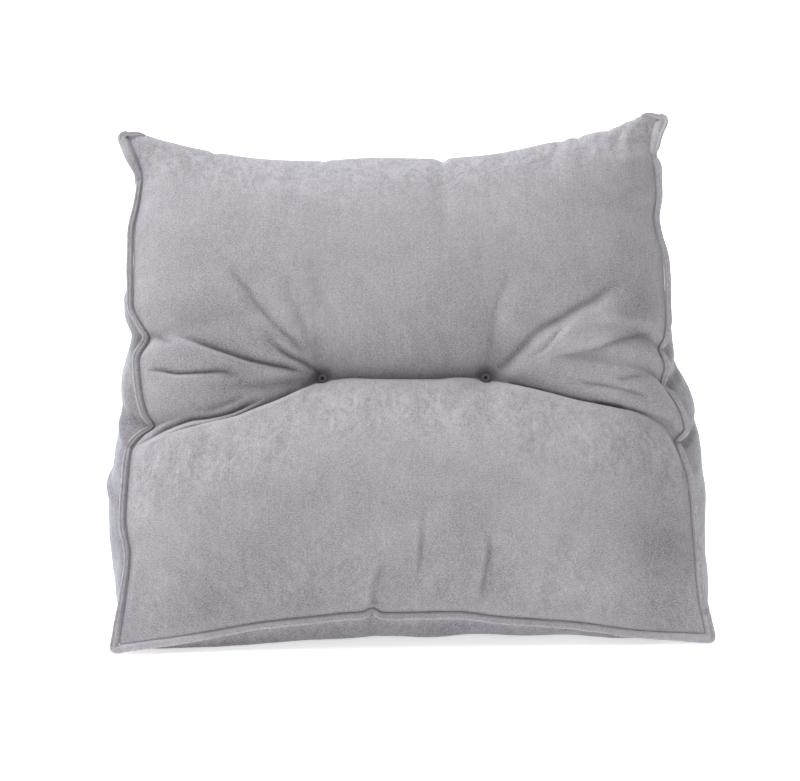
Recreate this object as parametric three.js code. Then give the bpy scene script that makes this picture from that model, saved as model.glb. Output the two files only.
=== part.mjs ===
// Wedge back cushion, standing on its own base.
//
// One filled body of soft pile cloth: a face that leans back, a back, a base
// and two three-cornered side panels. A flat topstitched flange stands out
// along the two sides and the foot of the face, and two small buttons pull a
// deep crease across it. Millimetres, +Z up, face towards -Y, origin on the
// floor under the middle of the bounding box.
import * as THREE from "three";
import { mergeVertices } from "three/addons/utils/BufferGeometryUtils.js";

const { abs, cos, exp, hypot, max, min, PI, sin, sqrt } = Math;
const { clamp, degToRad, lerp } = THREE.MathUtils;

// Driving sizes
const FACE_LEAN = 22; // degrees that the face leans back from upright
const FACE_FOOT_Y = -116; // foot of the face at its two lower corners
const FACE_FOOT_Z = 4;
const REAR_Y = 95; // seam along the foot of the back
const REAR_Z = 12;
const REAR_HALF = 296;
const FOOT_HALF = 294; // half width of the face at its foot
const CROWN = 58; // how far the filled face stands out past its seams
const BACK_CROWN = 34;
const FLANGE_WIDTH = 8.5;
const FLANGE_THICK = 2.6;
const GAP = 0.3; // between two sewn pieces
const MIDDLE = [3.2, -1.8, 0]; // brings the middle of the whole box over the origin
const BUTTON_RADIUS = 5.5;
const BUTTON_THICK = 3;
const SEAT_HALF = 6.5; // flat spot under each button
const SEAT_LEVEL = -1; // how far it stands out past the seams
const FOOT_ROLL = 36; // the base rounds down to the floor over this depth
const REAR_ROLL = 45;
const SIDE_ROLL = 40;

const rows = (columns, values) => {
  const names = columns.split(" ");
  return values.map((line) => Object.fromEntries(names.map((name, i) => [name, line[i]])));
};

// Side seams of the face: height up the face, distance out from its middle,
// and how far the seam is drawn back where a pleat pinches it.
const LEFT_SEAM = rows("up out back", [
  [6, 294, 0], [54, 288, 0], [95, 284, 0], [130, 289, 0], [185, 286, 0],
  [205, 284, 4], [219, 274, 9], [230, 262, 12], [241, 268, 8], [262, 274, 4],
  [298, 277, 1], [322, 267, 5], [336, 275, 1], [356, 284, 0], [432, 284, 0],
  [470, 278, 0], [496, 277, 0], [518, 283, 0], [545, 295, 2],
]);
const RIGHT_SEAM = rows("up out back", [
  [6, 294, 0], [52, 288, 0], [120, 286, 0], [160, 284, 0], [190, 277, 5],
  [204, 274, 10], [216, 284, 6], [232, 280, 3], [250, 270, 3], [262, 261, 6],
  [280, 266, 2], [301, 261, 5], [312, 267, 1], [335, 270, 0], [385, 270, 0],
  [440, 262, 1], [466, 266, 0], [495, 266, 0], [514, 262, 1], [552, 276, 2],
]);

// Foot seam and top fold of the face: distance across, height up the face.
const FOOT_SEAM = rows("across up", [
  [-294, 6], [-236, 13], [-150, 26], [-106, 30], [-52, 34], [-38, 38],
  [-27, 33], [50, 33], [85, 28], [170, 20], [237, 10], [294, 6],
]);
const TOP_FOLD = rows("across up", [
  [-295, 545], [-262, 537], [-215, 525], [-150, 514], [-100, 511], [-40, 513],
  [30, 509], [80, 514], [150, 526], [200, 536], [240, 549], [276, 552],
]);

// The crease that the two buttons draw across the face, from seam to seam,
// and the share of the crown that it takes away.
const CREASE = rows("across up share", [
  [-284, 208, 0.3], [-247, 220, 0.4], [-200, 229, 0.5], [-165, 239, 0.57],
  [-126, 255, 0.66], [-110, 263, 0.76], [-94, 272, 0.88], [-78, 273, 0.9],
  [-40, 271, 0.84], [6, 270, 0.82], [41, 271, 0.84], [71, 272, 0.9],
  [87, 271, 0.88], [102, 265, 0.76], [131, 257, 0.63], [170, 248, 0.52], [200, 241, 0.46], [230, 232, 0.4],
  [255, 219, 0.35], [278, 204, 0.3],
]);
const TUFTS = rows("side across up", [
  ["left", -86, 273],
  ["right", 79, 272],
]);

// Folds: start and end on the face, how far the middle sags to the left of
// that line, depth, and half width at each end.
const FOLDS = rows("across up toAcross toUp sag depth width toWidth", [
  [-98, 284, -186, 392, 14, 13, 10, 20],
  [-108, 277, -246, 320, -6, 12, 10, 16],
  [-112, 266, -240, 262, 4, 6, 10, 16],
  [-272, 277, -150, 276, 3, 5, 9, 9],
  [90, 284, 222, 368, -10, 14, 12, 24],
  [100, 274, 250, 306, -10, 8, 12, 20],
  [80, 292, 72, 372, 4, 4, 11, 16],
  [120, 262, 270, 232, 8, 6, 10, 14],
  [12, 150, 8, 44, 2, 3.5, 11, 12],
  [80, 120, 68, 40, 2, 4.5, 11, 11],
  [-30, 84, -40, 40, 0, 4.5, 11, 11],
]);

// Fullness of the side panels beyond their seams, by share of the height.
const SIDE_BULGE = rows("share left right", [
  [0, 12, 12], [0.08, 24, 20], [0.2, 32, 28], [0.4, 33, 30], [0.5, 30, 27],
  [0.55, 27, 20], [0.65, 22, 12], [0.8, 11, 5], [1, 0, 0],
]);

// How many facets each panel has
const COLUMNS = [14, 1, 1, 11, 1, 1, 13]; // across, split at the button seats
const ROWS_BELOW = 16;
const ROWS_ABOVE = 20;
const SIDE_COLUMNS = 8;
const CREASE_SHARE = 0.46; // of the rows' parameter lies below the crease

const lean = degToRad(FACE_LEAN);
const UP = new THREE.Vector3(0, sin(lean), cos(lean));
const OUT = new THREE.Vector3(0, -cos(lean), sin(lean));
const ACROSS = new THREE.Vector3(1, 0, 0);
const FACE_FOOT = new THREE.Vector3(0, FACE_FOOT_Y, FACE_FOOT_Z);

const onFace = (across, up, out) => FACE_FOOT.clone()
  .addScaledVector(ACROSS, across)
  .addScaledVector(UP, up)
  .addScaledVector(OUT, out);

// A smooth line through a table's rows, with no overshoot at its turns.
function curve(table, by, of, t) {
  const last = table.length - 1;
  const at = clamp(t, table[0][by], table[last][by]);
  let i = 0;
  while (i < last - 1 && at >= table[i + 1][by]) i += 1;
  const step = (k) => table[k + 1][by] - table[k][by];
  const rise = (k) => (table[k + 1][of] - table[k][of]) / step(k);
  const slope = (k) => {
    if (k === 0) return rise(0);
    if (k === last) return rise(last - 1);
    const before = rise(k - 1);
    const after = rise(k);
    return before * after > 0 ? (2 * before * after) / (before + after) : 0;
  };
  const h = step(i);
  const s = (at - table[i][by]) / h;
  return (1 + 2 * s) * (1 - s) ** 2 * table[i][of]
    + s * (1 - s) ** 2 * h * slope(i)
    + s * s * (3 - 2 * s) * table[i + 1][of]
    + s * s * (s - 1) * h * slope(i + 1);
}

// Depth of all the folds at one place on the face.
function foldDepth(across, up) {
  let depth = 0;
  for (const fold of FOLDS) {
    const dx = fold.toAcross - fold.across;
    const dy = fold.toUp - fold.up;
    const length = hypot(dx, dy);
    const along = ((across - fold.across) * dx + (up - fold.up) * dy) / length ** 2;
    if (along >= 1) continue;
    const s = clamp(along, 0, 1);
    const aside = ((up - fold.up) * dx - (across - fold.across) * dy) / length
      - fold.sag * 4 * s * (1 - s);
    const width = lerp(fold.width, fold.toWidth, s);
    const fade = (1 - s) ** 0.8 * clamp(along * 12 + 1, 0, 1);
    const trough = exp(-((aside / width) ** 2));
    const shoulders = 0.35 * exp(-(((abs(aside) - 1.9 * width) / width) ** 2));
    depth += fold.depth * fade * (trough - shoulders);
  }
  return depth;
}

// One point of the face, u from left to right, v from the foot seam to the
// top fold with the crease at CREASE_SHARE.
function face(u, v) {
  const foot = curve(FOOT_SEAM, "across", "up", lerp(-FOOT_HALF, FOOT_HALF, u));
  const first = CREASE[0];
  const final = CREASE.at(-1);
  const crease = curve(CREASE, "across", "up", lerp(first.across, final.across, u));
  const top = curve(TOP_FOLD, "across", "up", lerp(TOP_FOLD[0].across, TOP_FOLD.at(-1).across, u));
  const below = v < CREASE_SHARE;
  const part = below ? v / CREASE_SHARE : (v - CREASE_SHARE) / (1 - CREASE_SHARE);
  const between = (low, middle, high) => (below ? lerp(low, middle, part) : lerp(middle, high, part));
  const up = between(foot, crease, top);

  // the side seams' waves fade into the face
  const leftUp = between(LEFT_SEAM[0].up, first.up, TOP_FOLD[0].up);
  const rightUp = between(RIGHT_SEAM[0].up, final.up, TOP_FOLD.at(-1).up);
  const nearLeft = (1 - u) ** 5;
  const nearRight = u ** 5;
  const across = lerp(first.across, final.across, u)
    - (curve(LEFT_SEAM, "up", "out", leftUp) + first.across) * nearLeft
    + (curve(RIGHT_SEAM, "up", "out", rightUp) - final.across) * nearRight;
  const back = curve(LEFT_SEAM, "up", "back", leftUp) * nearLeft
    + curve(RIGHT_SEAM, "up", "back", rightUp) * nearRight;

  // the crown, round towards all four edges
  const fromFoot = clamp((up - foot) / 170, 0, 1);
  const fromTop = clamp((top - up) / 150, 0, 1);
  const roundAcross = (1 - abs(2 * u - 1) ** 2.4) ** 0.75;
  const roundUp = (1 - (1 - fromFoot) ** 2) ** 0.9 * (1 - (1 - fromTop) ** 2.2) ** 0.6;
  const crown = CROWN * roundAcross * roundUp;

  // the crease, steep below and easing out above
  const away = abs(up - crease);
  const share = curve(CREASE, "across", "share", across);
  const valley = below
    ? 0.75 * exp(-away / (14 - 4 * share)) + 0.25 * exp(-((away / 45) ** 2))
    : 0.7 * exp(-away / 19) + 0.3 * exp(-((away / 60) ** 2));
  let out = crown * (1 - share * valley) - back;
  out -= foldDepth(across, up) * clamp(roundAcross * 2.2, 0, 1) * clamp(fromTop * 6, 0, 1);

  // each button draws the cloth in to a flat spot, with a dimple around it
  for (const tuft of TUFTS) {
    out -= 10 * exp(-hypot(across - tuft.across, up - tuft.up) / 24) * (crown / CROWN);
    const far = max(abs(across - tuft.across), abs(up - tuft.up));
    out = lerp(out, SEAT_LEVEL, exp(-((max(0, far - SEAT_HALF - 2) / 7) ** 2)));
  }
  return onFace(across, up, out);
}

// Where the columns and rows of the face lie
function evenSteps(stops, counts) {
  const values = [stops[0]];
  counts.forEach((count, i) => {
    for (let k = 1; k <= count; k += 1) values.push(lerp(stops[i], stops[i + 1], k / count));
  });
  return values;
}

const creaseSpan = CREASE.at(-1).across - CREASE[0].across;
const tuftShare = TUFTS.map((tuft) => (tuft.across - CREASE[0].across) / creaseSpan);
const seatShare = SEAT_HALF / creaseSpan;
const acrossStops = [0, tuftShare[0] - seatShare, tuftShare[0], tuftShare[0] + seatShare,
  tuftShare[1] - seatShare, tuftShare[1], tuftShare[1] + seatShare, 1];
const COLUMN_AT = evenSteps(acrossStops, COLUMNS);

const belowSpan = TUFTS[0].up - 30;
const aboveSpan = 512 - TUFTS[0].up;
const seatBelow = CREASE_SHARE * (1 - SEAT_HALF / belowSpan);
const seatAbove = CREASE_SHARE + (1 - CREASE_SHARE) * (SEAT_HALF / aboveSpan);
const ROW_AT = evenSteps([0, seatBelow, CREASE_SHARE, seatAbove, 1], [ROWS_BELOW, 1, 1, ROWS_ABOVE]);
const SIDE_AT = evenSteps([0, 1], [SIDE_COLUMNS]);

const mix = (p, q, t) => p.clone().lerp(q, t);
const grid = (us, vs, point) => us.map((u, i) => vs.map((v, j) => point(u, v, i, j)));

const faceGrid = grid(COLUMN_AT, ROW_AT, face);
const leftSeam = faceGrid[0];
const rightSeam = faceGrid.at(-1);
const topFold = faceGrid.map((column) => column.at(-1));
const footSeam = faceGrid.map((column) => column[0]);

// Back seams run from the rear corners up to the two ears
const backSeam = (side, ear) => ROW_AT.map((v) => {
  const point = mix(new THREE.Vector3(side * REAR_HALF, REAR_Y, REAR_Z), ear, v);
  const drawnIn = sin(PI * v) ** 0.9;
  point.x -= side * 14 * drawnIn;
  point.y += 6 * drawnIn;
  return point;
});
const leftBackSeam = backSeam(-1, leftSeam.at(-1));
const rightBackSeam = backSeam(1, rightSeam.at(-1));
leftBackSeam[leftBackSeam.length - 1].copy(leftSeam.at(-1));
rightBackSeam[rightBackSeam.length - 1].copy(rightSeam.at(-1));
const rearSeam = COLUMN_AT.map((u) => {
  const arch = 1 - abs(2 * u - 1) ** 2.2;
  return mix(leftBackSeam[0], rightBackSeam[0], u).add(new THREE.Vector3(0, -6 * arch, 14 * arch));
});

// The back spans its four edges and swells between them
const backGrid = grid(COLUMN_AT, ROW_AT, (u, v, i, j) => {
  if (i === 0) return leftBackSeam[j];
  if (i === COLUMN_AT.length - 1) return rightBackSeam[j];
  if (j === 0) return rearSeam[i];
  if (j === ROW_AT.length - 1) return topFold[i];
  const sides = mix(leftBackSeam[j], rightBackSeam[j], u);
  const ends = mix(rearSeam[i], topFold[i], v);
  const corners = mix(mix(leftBackSeam[0], rightBackSeam[0], u), mix(topFold[0], topFold.at(-1), u), v);
  const point = sides.add(ends).sub(corners);
  const roundAcross = (1 - abs(2 * u - 1) ** 2.4) ** 0.75;
  const fromFoot = clamp(v / 0.5, 0, 1);
  const fromTop = clamp((1 - v) / 0.35, 0, 1);
  const roundUp = (1 - (1 - fromFoot) ** 2) ** 0.8 * (1 - (1 - fromTop) ** 2.2) ** 0.6;
  point.y += BACK_CROWN * roundAcross * roundUp;
  return point;
});

// Three-cornered side panels, each ending in an ear at the top
const sideGrid = (side, column, seam, back) => grid(SIDE_AT, ROW_AT, (s, v, i, j) => {
  if (i === 0 || j === ROW_AT.length - 1) return seam[j];
  if (i === SIDE_AT.length - 1) return back[j];
  const point = mix(seam[j], back[j], s);
  point.z += 8 * sin(PI * s) ** 0.8 * (1 - v) ** 3;
  point.x += side * curve(SIDE_BULGE, "share", column, v) * (1 - abs(2 * s - 1) ** 2.4) ** 0.7;
  return point;
});
const leftGrid = sideGrid(-1, "left", leftSeam, leftBackSeam);
const rightGrid = sideGrid(1, "right", rightSeam, rightBackSeam);

// The base: flat on the floor, rounding up to its four seams
const roll = (q) => 1 - sqrt(1 - (1 - clamp(q, 0, 1)) ** 2);
const baseGrid = grid(COLUMN_AT, SIDE_AT, (u, s, i, j) => {
  if (j === 0) return footSeam[i];
  if (j === SIDE_AT.length - 1) return rearSeam[i];
  if (i === 0) return leftGrid[j][0];
  if (i === COLUMN_AT.length - 1) return rightGrid[j][0];
  const point = mix(footSeam[i], rearSeam[i], s);
  const left = leftGrid[j][0];
  const right = rightGrid[j][0];
  point.x += (left.x - lerp(footSeam[0].x, rearSeam[0].x, s)) * (1 - u) ** 6;
  point.x += (right.x - lerp(footSeam.at(-1).x, rearSeam.at(-1).x, s)) * u ** 6;
  const depth = rearSeam[i].y - footSeam[i].y;
  const width = 2 * FOOT_HALF;
  point.z = max(
    footSeam[i].z * roll((s * depth) / FOOT_ROLL),
    rearSeam[i].z * roll(((1 - s) * depth) / REAR_ROLL),
    left.z * roll((u * width) / SIDE_ROLL),
    right.z * roll(((1 - u) * width) / SIDE_ROLL),
  );
  return point;
});

// A closed mesh from grids of points; a flipped grid faces the other way
function closedBody(grids) {
  const positions = [];
  const push = (...points) => {
    const [p, q, r] = points;
    if (p === q || q === r || r === p) return;
    for (const point of points) positions.push(point.x, point.y, point.z);
  };
  for (const { points, flip } of grids) {
    for (let i = 0; i + 1 < points.length; i += 1) {
      for (let j = 0; j + 1 < points[i].length; j += 1) {
        const [a, b, c, d] = [points[i][j], points[i + 1][j], points[i + 1][j + 1], points[i][j + 1]];
        if (flip) {
          push(a, c, b);
          push(a, d, c);
        } else {
          push(a, b, c);
          push(a, c, d);
        }
      }
    }
  }
  const geometry = new THREE.BufferGeometry();
  geometry.setAttribute("position", new THREE.Float32BufferAttribute(positions, 3));
  return mergeVertices(geometry, 1e-4);
}

// A flat strip sewn along a seam, standing out from the face's edge. It is
// mitred at a corner, where it stops a gap short of the strip that it meets.
function flange(line, { startOut, endOut, flip }) {
  const middle = onFace(0, 260, 0);
  const final = line.length - 1;
  const sections = line.map((point, i) => {
    const tangent = line[min(i + 1, final)].clone().sub(line[max(i - 1, 0)]).normalize();
    let out = tangent.clone().cross(OUT).normalize();
    if (out.dot(point.clone().sub(middle)) < 0) out.negate();
    const root = point.clone();
    if (i === 0 && startOut) {
      out = startOut;
      root.addScaledVector(tangent, GAP);
    }
    if (i === final && endOut) {
      out = endOut;
      root.addScaledVector(tangent, -GAP);
    }
    const corner = (away, rise) => root.clone().addScaledVector(out, away).addScaledVector(OUT, rise);
    const front = GAP + FLANGE_THICK;
    const edge = GAP + FLANGE_WIDTH;
    return [corner(GAP, GAP), corner(edge, GAP), corner(edge, front), corner(GAP, front)];
  });
  const ends = (section) => [[section[0], section[1]], [section[3], section[2]]];
  return closedBody([
    { points: sections.map((section) => [...section, section[0]]), flip },
    { points: ends(sections[0]), flip: !flip },
    { points: ends(sections[final]), flip },
  ]);
}

const outward = (across, up) => new THREE.Vector3()
  .addScaledVector(ACROSS, across)
  .addScaledVector(UP, up);
const leftCorner = outward(-0.8, -0.85);
const rightCorner = outward(0.8, -0.85);

// A small round button, lying on its flat spot with its face outwards
function button(tuft) {
  const geometry = new THREE.CylinderGeometry(BUTTON_RADIUS, BUTTON_RADIUS, BUTTON_THICK, 20);
  geometry.applyQuaternion(new THREE.Quaternion().setFromUnitVectors(new THREE.Vector3(0, 1, 0), OUT));
  const place = onFace(tuft.across, tuft.up, SEAT_LEVEL + GAP + BUTTON_THICK / 2);
  geometry.translate(place.x, place.y, place.z);
  return geometry;
}

// Materials
const pile = new THREE.Color(0xa7a2a6);
const cloth = () => new THREE.MeshStandardMaterial({ color: pile, roughness: 0.95, metalness: 0 });
const buttonFinish = () => new THREE.MeshStandardMaterial({ color: 0x8d888c, roughness: 0.7, metalness: 0 });

const cushion = new THREE.Group();
cushion.position.set(...MIDDLE);
function add(name, geometry, material) {
  geometry.computeVertexNormals();
  const mesh = new THREE.Mesh(geometry, material);
  mesh.name = name;
  cushion.add(mesh);
  return mesh;
}

add("cushion_body", closedBody([
  { points: faceGrid, flip: false },
  { points: backGrid, flip: true },
  { points: leftGrid, flip: true },
  { points: rightGrid, flip: false },
  { points: baseGrid, flip: true },
]), cloth());

add("flange_left", flange(leftSeam, { startOut: leftCorner, flip: true }), cloth());
add("flange_right", flange(rightSeam, { startOut: rightCorner, flip: false }), cloth());
add("flange_foot", flange(footSeam, { startOut: leftCorner, endOut: rightCorner, flip: false }), cloth());
TUFTS.forEach((tuft) => add(`button_${tuft.side}`, button(tuft), buttonFinish()));

export default cushion;
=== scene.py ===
# %% [markdown]
# # A wedge back cushion in soft velour
# The cushion is a filled wedge that stands on its own base. Its face leans back, two small
# buttons pull a deep crease across it, and a flat topstitched flange stands out along its
# two sides and its foot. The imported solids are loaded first: they fix the size and the
# place, and the pieces made here stand for them.

import bpy
import numpy as np
from mathutils import Matrix, Vector


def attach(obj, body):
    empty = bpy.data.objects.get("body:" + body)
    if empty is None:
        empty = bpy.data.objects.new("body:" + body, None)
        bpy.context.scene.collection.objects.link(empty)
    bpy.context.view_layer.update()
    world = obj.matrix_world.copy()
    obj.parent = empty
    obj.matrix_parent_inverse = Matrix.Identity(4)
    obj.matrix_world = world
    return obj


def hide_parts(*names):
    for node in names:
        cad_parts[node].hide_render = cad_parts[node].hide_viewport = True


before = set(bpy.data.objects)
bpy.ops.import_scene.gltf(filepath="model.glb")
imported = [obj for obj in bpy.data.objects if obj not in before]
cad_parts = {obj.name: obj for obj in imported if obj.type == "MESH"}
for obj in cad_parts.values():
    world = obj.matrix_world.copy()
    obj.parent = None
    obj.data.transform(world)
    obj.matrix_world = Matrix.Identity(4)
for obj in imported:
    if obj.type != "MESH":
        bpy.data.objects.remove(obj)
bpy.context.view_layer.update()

print("solids:", sorted(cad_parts))

# %% [markdown]
# ## The camera
# A photographer would stand two metres back and look slightly down. A long lens keeps the
# cushion's sides nearly parallel. The height, the tilt and the small turn of the picture
# come from where the two lower corners and the two ears show, so the camera is placed by
# those numbers and isn't aimed at a target.

# %% The camera
CAMERA_PLACE = (-0.0046, -1.9452, 0.5854)
LOOKS_DOWN = 10.0  # degrees
TURNED = -1.05  # degrees about the line of sight
SENSOR = 36.0
FOCAL = 85.32

camera_data = bpy.data.cameras.new("camera")
camera_data.sensor_fit = "HORIZONTAL"
camera_data.sensor_width = SENSOR
camera_data.lens = FOCAL
camera = bpy.data.objects.new("camera", camera_data)
camera.matrix_world = (
    Matrix.Translation(CAMERA_PLACE)
    @ Matrix.Rotation(np.radians(90 - LOOKS_DOWN), 4, "X")
    @ Matrix.Rotation(np.radians(TURNED), 4, "Z")
)
bpy.context.collection.objects.link(camera)
bpy.context.scene.camera = camera
print("camera:", FOCAL, "mm lens at", CAMERA_PLACE)

# %% [markdown]
# ## Putting a surface into a mesh
# Every piece below is a grid of points that numpy works out as whole arrays. A grid could
# become a mesh through bmesh, face by face, but the grid's own order already says which
# four points make a face, so index arrays do it at once. Patches of one piece share the
# points along their seams: equal points are found by sorting, and kept once.

# %% Grids to meshes
MM = 0.001
MIDDLE = np.array([3.2, -1.8, 0.0])  # brings the middle of the box over the origin


def quads(rows, columns, flip=False):
    """Corner numbers of a grid's faces: a point, its neighbours, and the point across."""
    number = np.arange(rows * columns).reshape(rows, columns)
    around = [number[:-1, :-1], number[1:, :-1], number[1:, 1:], number[:-1, 1:]]
    return np.stack(around[::-1] if flip else around, -1).reshape(-1, 4)


def mesh_piece(name, patches, notes=None):
    """One object from patches of (grid of points in mm, flip, grid of map places in m).
    Notes are values that the material reads: for each name, one array to a patch."""
    points, corners, places, start = [], [], [], 0
    for grid, flip, chart in patches:
        faces = quads(*grid.shape[:2], flip)
        points.append(grid.reshape(-1, 3))
        corners.append(faces + start)
        places.append(chart.reshape(-1, 2)[faces])
        start += grid.shape[0] * grid.shape[1]
    points, corners, places = map(np.concatenate, (points, corners, places))
    # points that lie together within a thousandth of a millimetre are one point
    spots, first_of, which = np.unique(np.round(points, 3), axis=0, return_index=True, return_inverse=True)
    which = which.reshape(-1)[corners]
    # a face whose neighbouring corners fell together keeps three corners
    keep = which != np.roll(which, -1, axis=1)
    sides = keep.sum(1)
    whole = sides >= 3
    keep, which, places, sides = keep[whole], which[whole], places[whole], sides[whole]
    mesh = bpy.data.meshes.new(name)
    mesh.vertices.add(len(spots))
    mesh.vertices.foreach_set("co", ((spots + MIDDLE) * MM).astype(np.float32).ravel())
    mesh.loops.add(int(sides.sum()))
    mesh.loops.foreach_set("vertex_index", which[keep].astype(np.int32))
    mesh.polygons.add(len(sides))
    first = np.concatenate([[0], np.cumsum(sides)[:-1]])
    mesh.polygons.foreach_set("loop_start", first.astype(np.int32))
    mesh.update(calc_edges=True)
    chart = mesh.uv_layers.new(name="cloth")
    chart.data.foreach_set("uv", places[keep].astype(np.float32).ravel())
    mesh.polygons.foreach_set("use_smooth", np.full(len(sides), True))
    for note, values in (notes or {}).items():
        written = mesh.attributes.new(note, "FLOAT", "POINT")
        values = np.concatenate([np.ravel(value) for value in values])[first_of]
        written.data.foreach_set("value", values.astype(np.float32))
    mesh.validate()
    piece = bpy.data.objects.new(name, mesh)
    bpy.context.collection.objects.link(piece)
    print(f"{name}: {len(spots)} points, {len(sides)} faces")
    return piece


# %% [markdown]
# ## The studio
# The floor is one wide sheet of pale paper that curves up into a wall behind the cushion,
# as in a product studio, so no horizon shows. An extruded curve would do as well. A
# profile carried sideways is the plainest surface there is, and a good first example.

# %% The paper floor
FLOOR_HALF = 40000.0  # half its width; its edges lie far off, near the horizon
FLOOR_FRONT = -40000.0
FLOOR_BEND = 3000.0
WALL_TOP = 5000.0
BEND_RADIUS = 1500.0


def paper():
    """Flat floor, then a quarter circle, then a wall, as one line carried sideways."""
    turn = np.linspace(0, np.pi / 2, 25)
    bend = FLOOR_BEND + BEND_RADIUS * np.sin(turn)
    y = np.concatenate([[FLOOR_FRONT], bend, bend[-1:]])
    z = np.concatenate([[0], BEND_RADIUS * (1 - np.cos(turn)), [WALL_TOP]])
    x = np.linspace(-FLOOR_HALF, FLOOR_HALF, 3)
    grid = np.empty((3, len(y), 3))
    grid[..., 0], grid[..., 1], grid[..., 2] = x[:, None], y, z
    return grid - MIDDLE


paper_grid = paper()
floor = mesh_piece("paper_floor", [(paper_grid, False, paper_grid[..., :2] * MM)])

# %% [markdown]
# ## The light
# Two broad soft boxes hang high behind and over the cushion, a little to the left, so that
# light grazes the face and every fold shows. A white world, stronger from the left, keeps
# the shadows open. Small lamps would give hard shadows, which such a soft pile never has.

# %% Lamps and world
AIMED_AT = Vector((0, 0, 0.26))  # the middle of the cushion, in metres
BOX_SIZE = 1.3
WORLD_LEVEL = 0.41
WORLD_SLOPE = (-0.38, 0.0, 0.0)  # stronger from the left


def soft_box(name, place, power, tint):
    """A square area lamp at a place, aimed at the middle of the cushion."""
    lamp = bpy.data.lights.new(name, "AREA")
    lamp.size = BOX_SIZE
    lamp.color = tint
    lamp.energy = power
    holder = bpy.data.objects.new(name, lamp)
    aim = AIMED_AT - Vector(place)
    holder.matrix_world = Matrix.Translation(place) @ aim.to_track_quat("-Z", "Y").to_matrix().to_4x4()
    bpy.context.collection.objects.link(holder)
    return holder


def calculated(tree, operation, *values):
    """A Math node on values, each a fixed number or another node's output."""
    node = tree.nodes.new("ShaderNodeMath")
    node.operation = operation
    for socket, value in zip(node.inputs, values):
        if isinstance(value, (int, float)):
            socket.default_value = value
        else:
            tree.links.new(value, socket)
    return node.outputs[0]


key = soft_box("key", (-1.4, 0.5, 2.8), 47.5, (0.94, 0.975, 1.0))
high = soft_box("high", (-0.4, 0.1, 3.0), 51, (0.96, 0.985, 1.0))

world = bpy.data.worlds.new("white_room")
world.use_nodes = True
tree = world.node_tree
direction = tree.nodes.new("ShaderNodeTexCoord").outputs["Generated"]
slope = tree.nodes.new("ShaderNodeVectorMath")
slope.operation = "DOT_PRODUCT"
tree.links.new(direction, slope.inputs[0])
slope.inputs[1].default_value = WORLD_SLOPE
strength = calculated(tree, "ADD", slope.outputs["Value"], WORLD_LEVEL)
tree.links.new(strength, tree.nodes["Background"].inputs["Strength"])
tree.nodes["Background"].inputs["Color"].default_value = (1, 1, 1, 1)
bpy.context.scene.world = world
bpy.context.scene.view_settings.view_transform = "Standard"
print("lamps:", key.name, high.name)

# %% [markdown]
# ## Reading a shape from a short table
# A pattern cutter marks a few places along a seam and draws a smooth line through them.
# The helper `curve` does the same: between two marks it runs a cubic whose slopes never
# overshoot, so a wave in a seam stays where it was marked. The other helpers are the few
# soft shapes that most of the forms below are made of: a rise, a bell, an arch and waves.

# %% Tables and smooth lines
def rows(columns, lines):
    """Lines of numbers as one array for each named column."""
    return dict(zip(columns.split(), np.array(lines, float).T))


def mix(low, high, share):
    """low where share is 0, high where it is 1, and in between elsewhere."""
    return low + (high - low) * share


def ease(value):
    """0 up to 0, 1 from 1, and a smooth rise between."""
    value = np.clip(value, 0, 1)
    return value * value * (3 - 2 * value)


def bell(away, reach):
    """1 at no distance, and dying away smoothly over the reach, as a bell does."""
    return np.exp(-((away / reach) ** 2))


def arch(share, power=2.4):
    """0 at shares 0 and 1 and 1 half way; a higher power gives a flatter middle."""
    return 1 - np.abs(2 * share - 1) ** power


def curve(table, by, of, at):
    """Cubic through a table's marks. Its slope at a mark is the harmonic mean of the two
    rises beside it, and level where the line turns."""
    x, y = table[by], table[of]
    run = np.diff(x)
    rise = np.diff(y) / run
    slope = np.concatenate([rise[:1], np.zeros(len(x) - 2), rise[-1:]])
    before, after = rise[:-1], rise[1:]
    same = before * after > 0
    total = np.where(same, before + after, 1)
    slope[1:-1] = np.where(same, 2 * before * after / total, 0)
    at = np.clip(at, x[0], x[-1])
    i = np.clip(np.searchsorted(x, at, side="right") - 1, 0, len(run) - 1)
    s = (at - x[i]) / run[i]
    return (
        (1 + 2 * s) * (1 - s) ** 2 * y[i]
        + s * (1 - s) ** 2 * run[i] * slope[i]
        + s * s * (3 - 2 * s) * y[i + 1]
        + s * s * (s - 1) * run[i] * slope[i + 1]
    )


def waves(x, y, size, turn=0.0):
    """Soft uneven waves between -1 and 1: four sines that cross at odd angles."""
    total = 0
    for k, (angle, stretch) in enumerate([(0.3, 1.0), (1.7, 1.37), (2.9, 0.81), (4.4, 1.73)]):
        along = x * np.cos(angle + turn) + y * np.sin(angle + turn)
        total = total + np.sin(2 * np.pi * along * stretch / size + 2.1 * k + 5 * turn) / 4
    return total


# %% [markdown]
# ## The face: its edges
# Everything on the face is measured as a maker would on the flat panel: so far across from
# its middle, so far up from its foot, and so far out of its plane. The panel leans back,
# so one helper turns those three numbers into a place in the room. The two side seams
# wander because the pleats at the ends of the crease pinch them in. The crease has three
# more numbers at each mark: `share` is how much of the crown it takes away, `above` how
# far its upper slope reaches, and `wall` how much of its lower side stands square.

# %% The face's plane and its seams
LEAN = np.radians(22)
ACROSS = np.array([1.0, 0.0, 0.0])
UP = np.array([0.0, np.sin(LEAN), np.cos(LEAN)])
OUT = np.array([0.0, -np.cos(LEAN), np.sin(LEAN)])
FACE_FOOT = np.array([0.0, -116.0, 4.0])
FOOT_HALF = 294.0
REAR = np.array([296.0, 95.0, 12.0])  # rear corner on the right

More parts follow.
